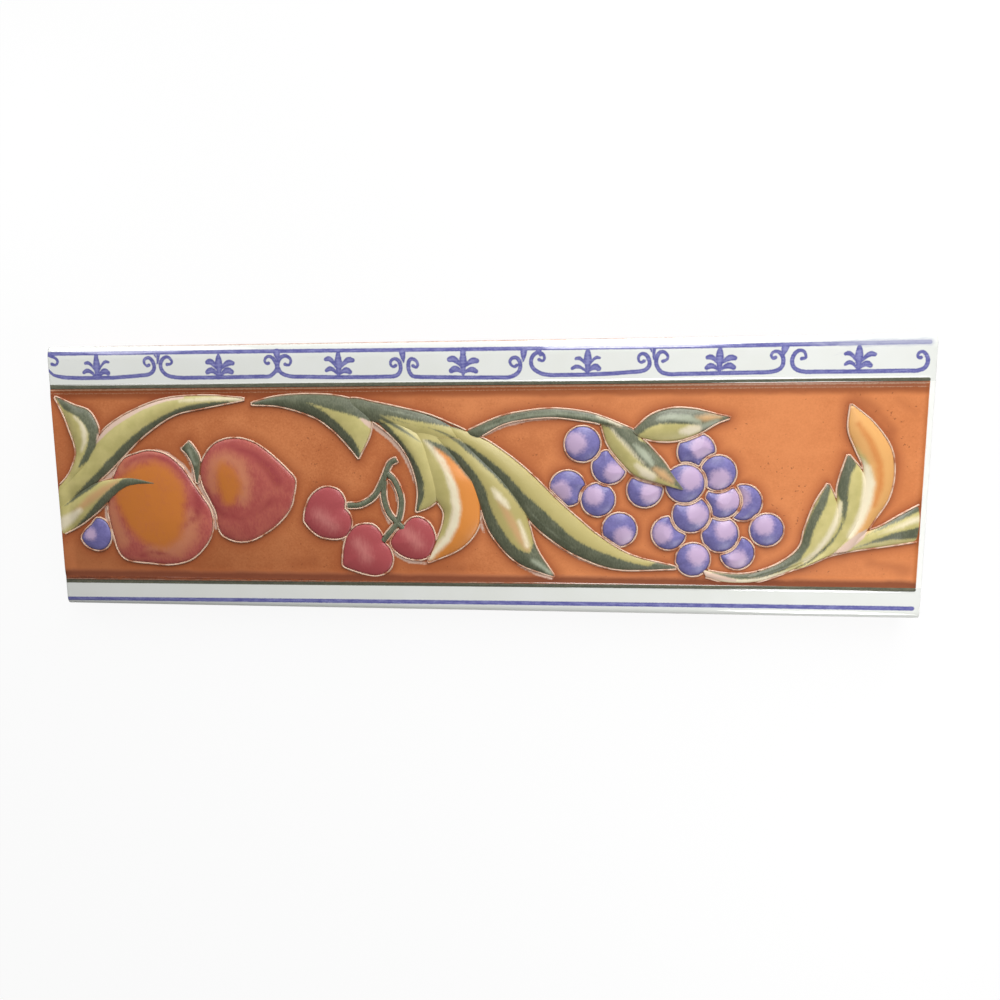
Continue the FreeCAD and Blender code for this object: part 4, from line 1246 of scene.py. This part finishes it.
# %% Cherries
cherry = Finish("cherry_glaze", Roughness=0.42)
stipple = cherry.noise(0.35, 3, (1, 0.25, 1), 25)
blush = cherry.depth("blush") + stipple * 2.6
cherry.shown = cherry.mix(cherry.ramp(blush, -2.6, 1.5), (168, 76, 79), (200, 122, 117))
cherry.lay(cherry.depth("rim") + stipple * 0.5, 0.4, 0, (132, 58, 56), 0.6)
cherry.feed("Base Color", cherry.shown)
cherry.bump(cherry.noise(2.5, 3), 0.05)
BLUSH = [
    [(-35.6, -8.4, 0.9), (-34, -9.8, 1.2), (-32.2, -11.2, 0.7)],
    [(-26.4, -15.2, 0.7), (-25, -16.8, 1.1), (-24.4, -18.6, 0.7)],
    [(-14.6, -12.4, 0.7), (-13.2, -13.7, 1.1), (-12, -15.4, 0.6)],
]
cherries = ["cherry_0", "cherry_1", "cherry_2"]
rims = [outlines[name] for name in cherries]
piece("cherries", domes(cherries, CHERRY_RISE, 2.4), cherry, fruit_paint({"blush": BLUSH}, rims))

# %% [markdown]
# ## Grapes and the berry
# Each grape is blue with a lilac patch wiped out of it while wet, and a thin navy shadow on the side
# away from the patch. The patches sit on a different side of each grape, as the painter left them.

# %% Grapes
LILAC = [(1, -1.6), (-1.6, -0.6), (-1, 1), (1.1, -1.2), (-1.5, 0.2), (1.2, -0.7), (-1, 1.1), (0, -1.4),
 (1, 1.2), (0.8, 0.2), (1, 1), (0.2, -1.3), (-1.5, 0), (1.3, 0.2), (1.1, 1.2), (-0.8, 1.1), (0.9, 1.1)]
grape = Finish("grape_glaze", Roughness=0.4)
stipple, drift = grape.noise(0.45, 3), grape.noise(1.8, 2)
grape.shown = grape.mix(grape.ramp(drift + stipple * 0.5, -0.3, 0.3), (104, 99, 152), (122, 116, 172))
grape.lay(grape.depth("lilac") + stipple * 0.9 + drift * 1.2, -0.9, 0.7, (190, 165, 196))
grape.lay(grape.depth("shade") + stipple * 0.25, -0.1, 0.3, (62, 54, 104), 0.85)
grape.feed("Base Color", grape.shown)
grape.bump(drift, 0.04)
LILAC_WIDTH, BERRY_LILAC = 1.1, [(-92.6, -13.6, 2.6)]
SHADE_SHIFT, SHADE_WIDTH = (0.16, -0.2), 0.08
bunch = [f"grape_{i}" for i in range(len(GRAPES))]


def grape_paint(places):
    """Lilac patches, and a navy rim on the side away from the light."""
    lilac = [[(x + a, y + b, LILAC_WIDTH * radius)] for (x, y, radius), (a, b) in zip(GRAPES, LILAC)]
    rims = [outlines[name] for name in [*bunch, "cherry_3"]]
    deep = np.minimum(painted_depth(places, rims), painted_depth(places + np.array(SHADE_SHIFT), rims))
    return {"lilac": painted_depth(places, [*lilac, BERRY_LILAC]), "shade": SHADE_WIDTH - deep}


piece("grapes", domes(bunch, GRAPE_RISE, 1.6) + domes(["cherry_3"], CHERRY_RISE, 2), grape, grape_paint)

# %% [markdown]
# ## The raised lines
# Round each motif runs a fine raised line that kept the glazes apart while they melted. The glaze
# ran off its crest, so it fires pale. Each line is a curve beside the motif's edge with a small round
# section, half sunk in the ground, and it stops where another motif covers it.

# %% Where the lines run
LINE_RADIUS, LINE_ASIDE, LINE_CREST, LINE_CLEAR = 0.2, 0.13, 0.33, 0.1
LINES_START, LINES_END = (0.6 - HALF_LENGTH, -23.6), (RIGHT_MARGIN, 20.6)


def offset_outline(outline, aside):
    """A closed outline moved outwards."""
    ahead, behind = np.roll(outline, -1, 0), np.roll(outline, 1, 0)
    run = ahead - behind
    out = np.stack([run[:, 1], -run[:, 0]], 1) / np.maximum(np.linalg.norm(run, axis=1), 1e-6)[:, None]
    x, y = outline.T
    if (x * np.roll(y, -1) - np.roll(x, -1) * y).sum() < 0:
        out = -out
    return outline + out * aside


def open_runs(points, keep):
    """The runs of neighbouring points that are kept, of a closed outline."""
    if keep.all():
        return [np.vstack([points, points[:1]])]
    start = int(np.argmin(keep))
    points, keep = np.roll(points, -start, 0), np.roll(keep, -start)
    runs, run = [], []
    for point, kept in zip(points, keep):
        if kept:
            run.append(point)
        elif run:
            runs.append(np.array(run))
            run = []
    if run:
        runs.append(np.array(run))
    return [run for run in runs if len(run) > 3]


def raised_lines():
    """The runs of a line round every motif, where it shows."""
    runs = []
    for name, outline in outlines.items():
        line = offset_outline(outline, LINE_ASIDE)
        keep = ((line > LINES_START) & (line < LINES_END)).all(1)
        for other, shape in outlines.items():
            if other != name:
                keep &= patch_depth(line, shape) < -LINE_CLEAR
        runs += open_runs(line, keep)
    return runs


line_runs = raised_lines()
print(len(line_runs), "runs of raised line")

# %% Raised lines
curve = bpy.data.curves.new("raised_lines", "CURVE")
curve.dimensions = "3D"
curve.bevel_depth, curve.bevel_resolution, curve.use_fill_caps = LINE_RADIUS, 1, True
for run in line_runs:
    spline = curve.splines.new("POLY")
    spline.points.add(len(run) - 1)
    for point, (x, y) in zip(spline.points, run):
        point.co = (x, y, ground_level(x) + LINE_CREST - LINE_RADIUS, 1)
holder = bpy.data.objects.new("line_holder", curve)
swept = bmesh.new()
swept.from_mesh(bpy.data.meshes.new_from_object(holder))
bpy.data.objects.remove(holder)
pale = Finish("worn_pale_line", Roughness=0.45)
wear = pale.ramp(pale.noise(2.2, 4), -0.05, 0.2)
pale.feed("Base Color", pale.mix(wear, (220, 188, 164), (176, 112, 80)))
piece("raised_lines", [swept], pale, sharp=80)

# %% [markdown]
# ## The ground of the frieze
# The terracotta is painted darker round each motif, with a thin painted shadow in the groove beside
# each raised line and painted shadows along both beads. It is painted lighter towards the right end
# and darker towards the lower left, as painted light and shade. Small iron specks burnt through it
# in places.

# %% Patches of the ground
BARE = [
    [(-24, 13.3, 0.9), (-21.6, 11.8, 1.2), (-18.1, 9, 1.1), (-15.5, 5.9, 0.9), (-13.8, 2.4, 0.7),
     (-12.8, -1, 0.5)],
    [(-88.4, -5.8, 0.9), (-88.4, -9.5, 1.1), (-87.9, -12.5, 1), (-86.9, -15.6, 0.6)],
    [(-75, 6.6, 0.6), (-72.2, 5.8, 0.8), (-68.6, 3, 1), (-66.3, -0.4, 1)],
    [(-65.3, -0.8, 0.9), (-63.4, -3.8, 1.3), (-61.7, -7, 1.3), (-61.3, -10.2, 1.2), (-61.2, -12, 0.9)],
    [(-83, 4.6), (-86, 2.2), (-90, -0.9), (-94, -3.3), (-90, -1.8), (-86, -0.3), (-85.3, 1.5), (-83.5, 3.6)],
    [(-18.9, -15.3, 0.7), (-17.4, -18, 1), (-14.5, -19.6, 0.8), (-10.5, -20, 0.6)],
    [(-30.2, -14.5, 0.6), (-28.3, -12.7, 0.9)], [(2.4, -8.5, 0.5), (2.5, -10.5, 0.9), (3.2, -12.5, 0.4)],
    [(13.4, -8.5, 0.7), (16.4, -12, 0.9), (20.3, -15.2, 1), (25.2, -18.2, 0.9), (30.2, -20.2, 0.6)],
    [(11, -20.1, 0.3), (15, -22, 0.7), (18.8, -23, 0.7)],
    [(-68.7, 7, 0.6), (-67.2, 5, 0.7), (-66.2, 2.5, 0.6), (-66.1, 0.5, 0.5)],
    [(-20.9, -3.6, 0.8), (-20.4, -7, 0.9), (-19, -10.4, 0.8)],
    [(-18.6, -0.8, 0.5), (-17.2, -3, 0.8), (-16.9, -5.5, 0.6)],
    [(2.4, 9.4, 0.5), (8, 12, 0.7), (14, 13.35, 0.7), (20, 13.6, 0.5)],
]
SPECKLED = [
    [(-39, 9, 5), (-31, 1, 7)], [(61, 8, 5), (70, 0, 8), (73, -8, 6)], [(1, 9, 4), (10, 9, 5)],
    [(-45, -18, 5), (-36, -19, 5)], [(86, 15, 5), (96, 9, 6)],
]
SMUDGED = [
    [(84, 18, 1), (88.5, 15, 1.5), (92.5, 10.5, 0.8)], [(93, 17, 0.4), (96.5, 14.6, 1)],
    [(89, -18.6, 1.4), (97, -20, 2)], [(-42, -20.5, 2), (-38, -20, 2.5)], [(-15, -21, 1.5), (-2, -21, 2)],
]
print(len(BARE), "bare patches,", len(SPECKLED), "speckled and", len(SMUDGED), "smudged ones")

# %% Terracotta glaze
terracotta = Finish("terracotta_glaze", Specular_IOR_Level=0.35)
fine, cloud, wide = terracotta.noise(0.4, 3), terracotta.noise(5, 4), terracotta.noise(22, 2)
near = terracotta.depth("halo")
mottle = terracotta.ramp(cloud + wide + fine * 0.9, -0.4, 0.45)
# painted shadow: a dark strip along the ground just above the bottom bead; the glaze is also made rougher
# there
pool = terracotta.depth("pool") + cloud * 0.7 + fine * 0.4
burnt = terracotta.ramp(terracotta.depth("speckled") + cloud * 4, -3, 1)
specks = terracotta.noise(0.7, 1) + terracotta.noise(7, 2) * 0.18 + burnt * 0.05
terracotta.shown = terracotta.mix(mottle, (184, 106, 62), (210, 131, 82))
for depth, start, end, shade, most in (
        # painted light: the ground is painted lighter towards the right end, where the window lights it
        (terracotta.depth("along") + cloud * 40, -30, 60, (230, 146, 88), 0.38),
        # painted shade: the ground is painted darker towards the lower left
        (terracotta.depth("low") + cloud * 30, 10, 90, (112, 58, 34), 0.4),
        (near + cloud * 2 + fine * 0.6, -3.4, 0, (160, 83, 47), 0.6),
        # painted shadow: a thin darker line in the groove just outside each motif's raised line
        (near + fine * 0.6 + cloud, -1.5, -0.3, (136, 72, 44), 0.35),
        # painted shadow: a dark strip along the ground just under the top bead
        (terracotta.depth("strip") + cloud * 1.4 + fine * 0.5, -0.8, 0.6, (140, 70, 41), 0.65),
        # painted shadow above the bottom bead
        (pool, -0.9, 0.5, (98, 46, 28), 0.85),
        (terracotta.depth("smudged") + cloud * 5 + fine, -1.5, 1.5, (160, 88, 52), 0.5),
        (specks, 0.24, 0.31, (118, 62, 36), 0.55),
        (terracotta.depth("bare") + fine * 0.5, -0.2, 0.25, (208, 176, 158), 1),
        (terracotta.depth("pale") + fine * 0.35, -0.1, 0.12, (200, 160, 130), 0.9),
        (terracotta.depth("margin"), -0.05, 0.05, (236, 237, 232), 1)):
    terracotta.lay(depth, start, end, shade, most)
terracotta.feed("Base Color", terracotta.shown)
terracotta.feed("Roughness", terracotta.ramp(pool, -0.9, 0.5, 0.5) + 0.4)
terracotta.bump(cloud + fine * 0.15, 0.08)
print("the terracotta glaze takes", len(terracotta.tree.nodes), "nodes")

# %% Ground of the frieze
# Where the painted shadows along the top and bottom beads begin, across the border in millimetres.
TOP_SHADOW_START, BOTTOM_SHADOW_START = 18.8, -22.8
SHADE_SLANT = (-0.7, -1.6)
PALE_LINES = [
    [(-100.5, 20.8, 0.3), (0, 20.7, 0.3), (98.6, 20.65, 0.28)],
    [(-100.5, 20, 0.12), (0, 19.95, 0.1), (98.6, 19.9, 0.12)],
]


def ground_paint(places):
    """How near a motif each place of the ground lies, the depths of its painted strips, and where its painted
    light and shade fall.
    """
    x, y = places.T
    patches = {"halo": outlines.values(), "bare": BARE, "pale": PALE_LINES, "speckled": SPECKLED,
               "smudged": SMUDGED}
    depths = {kind: painted_depth(places, shapes) for kind, shapes in patches.items()}
    return depths | {"along": x, "low": SHADE_SLANT[0] * x + SHADE_SLANT[1] * y, "margin": x - RIGHT_MARGIN,
                     "strip": y - TOP_SHADOW_START, "pool": BOTTOM_SHADOW_START - y}


piece("frieze_ground", [face_sheet(along_ground, ground_rows)], terracotta, ground_paint)

# %% [markdown]
# ## The table
# The photograph has a plain white ground. The table shows white to the camera and keeps only a trace
# of the tile's shadow.

# %% Table
TABLE_HALF, TABLE_GLOW = 1.5, 0.92
table = bmesh.new()
bmesh.ops.create_grid(table, x_segments=1, y_segments=1, size=TABLE_HALF)
table_mesh = bpy.data.meshes.new("table")
table.to_mesh(table_mesh)
table.free()
paper = Finish("white_paper", Base_Color=(0.9, 0.9, 0.9, 1), Roughness=0.9)
seen = paper.node("LightPath", output="Is Camera Ray") * TABLE_GLOW
paint, glow = Number(paper, paper.shader.outputs[0]), paper.node("Emission")
surface = paper.node("MixShader", {}, {0: seen, 1: paint, 2: glow})
paper.tree.links.new(surface.socket, paper.tree.nodes["Material Output"].inputs["Surface"])
table_mesh.materials.append(paper.material)
table_top = bpy.data.objects.new("table", table_mesh)
bpy.context.scene.collection.objects.link(table_top)
print("the table is", 2 * TABLE_HALF, "m wide")
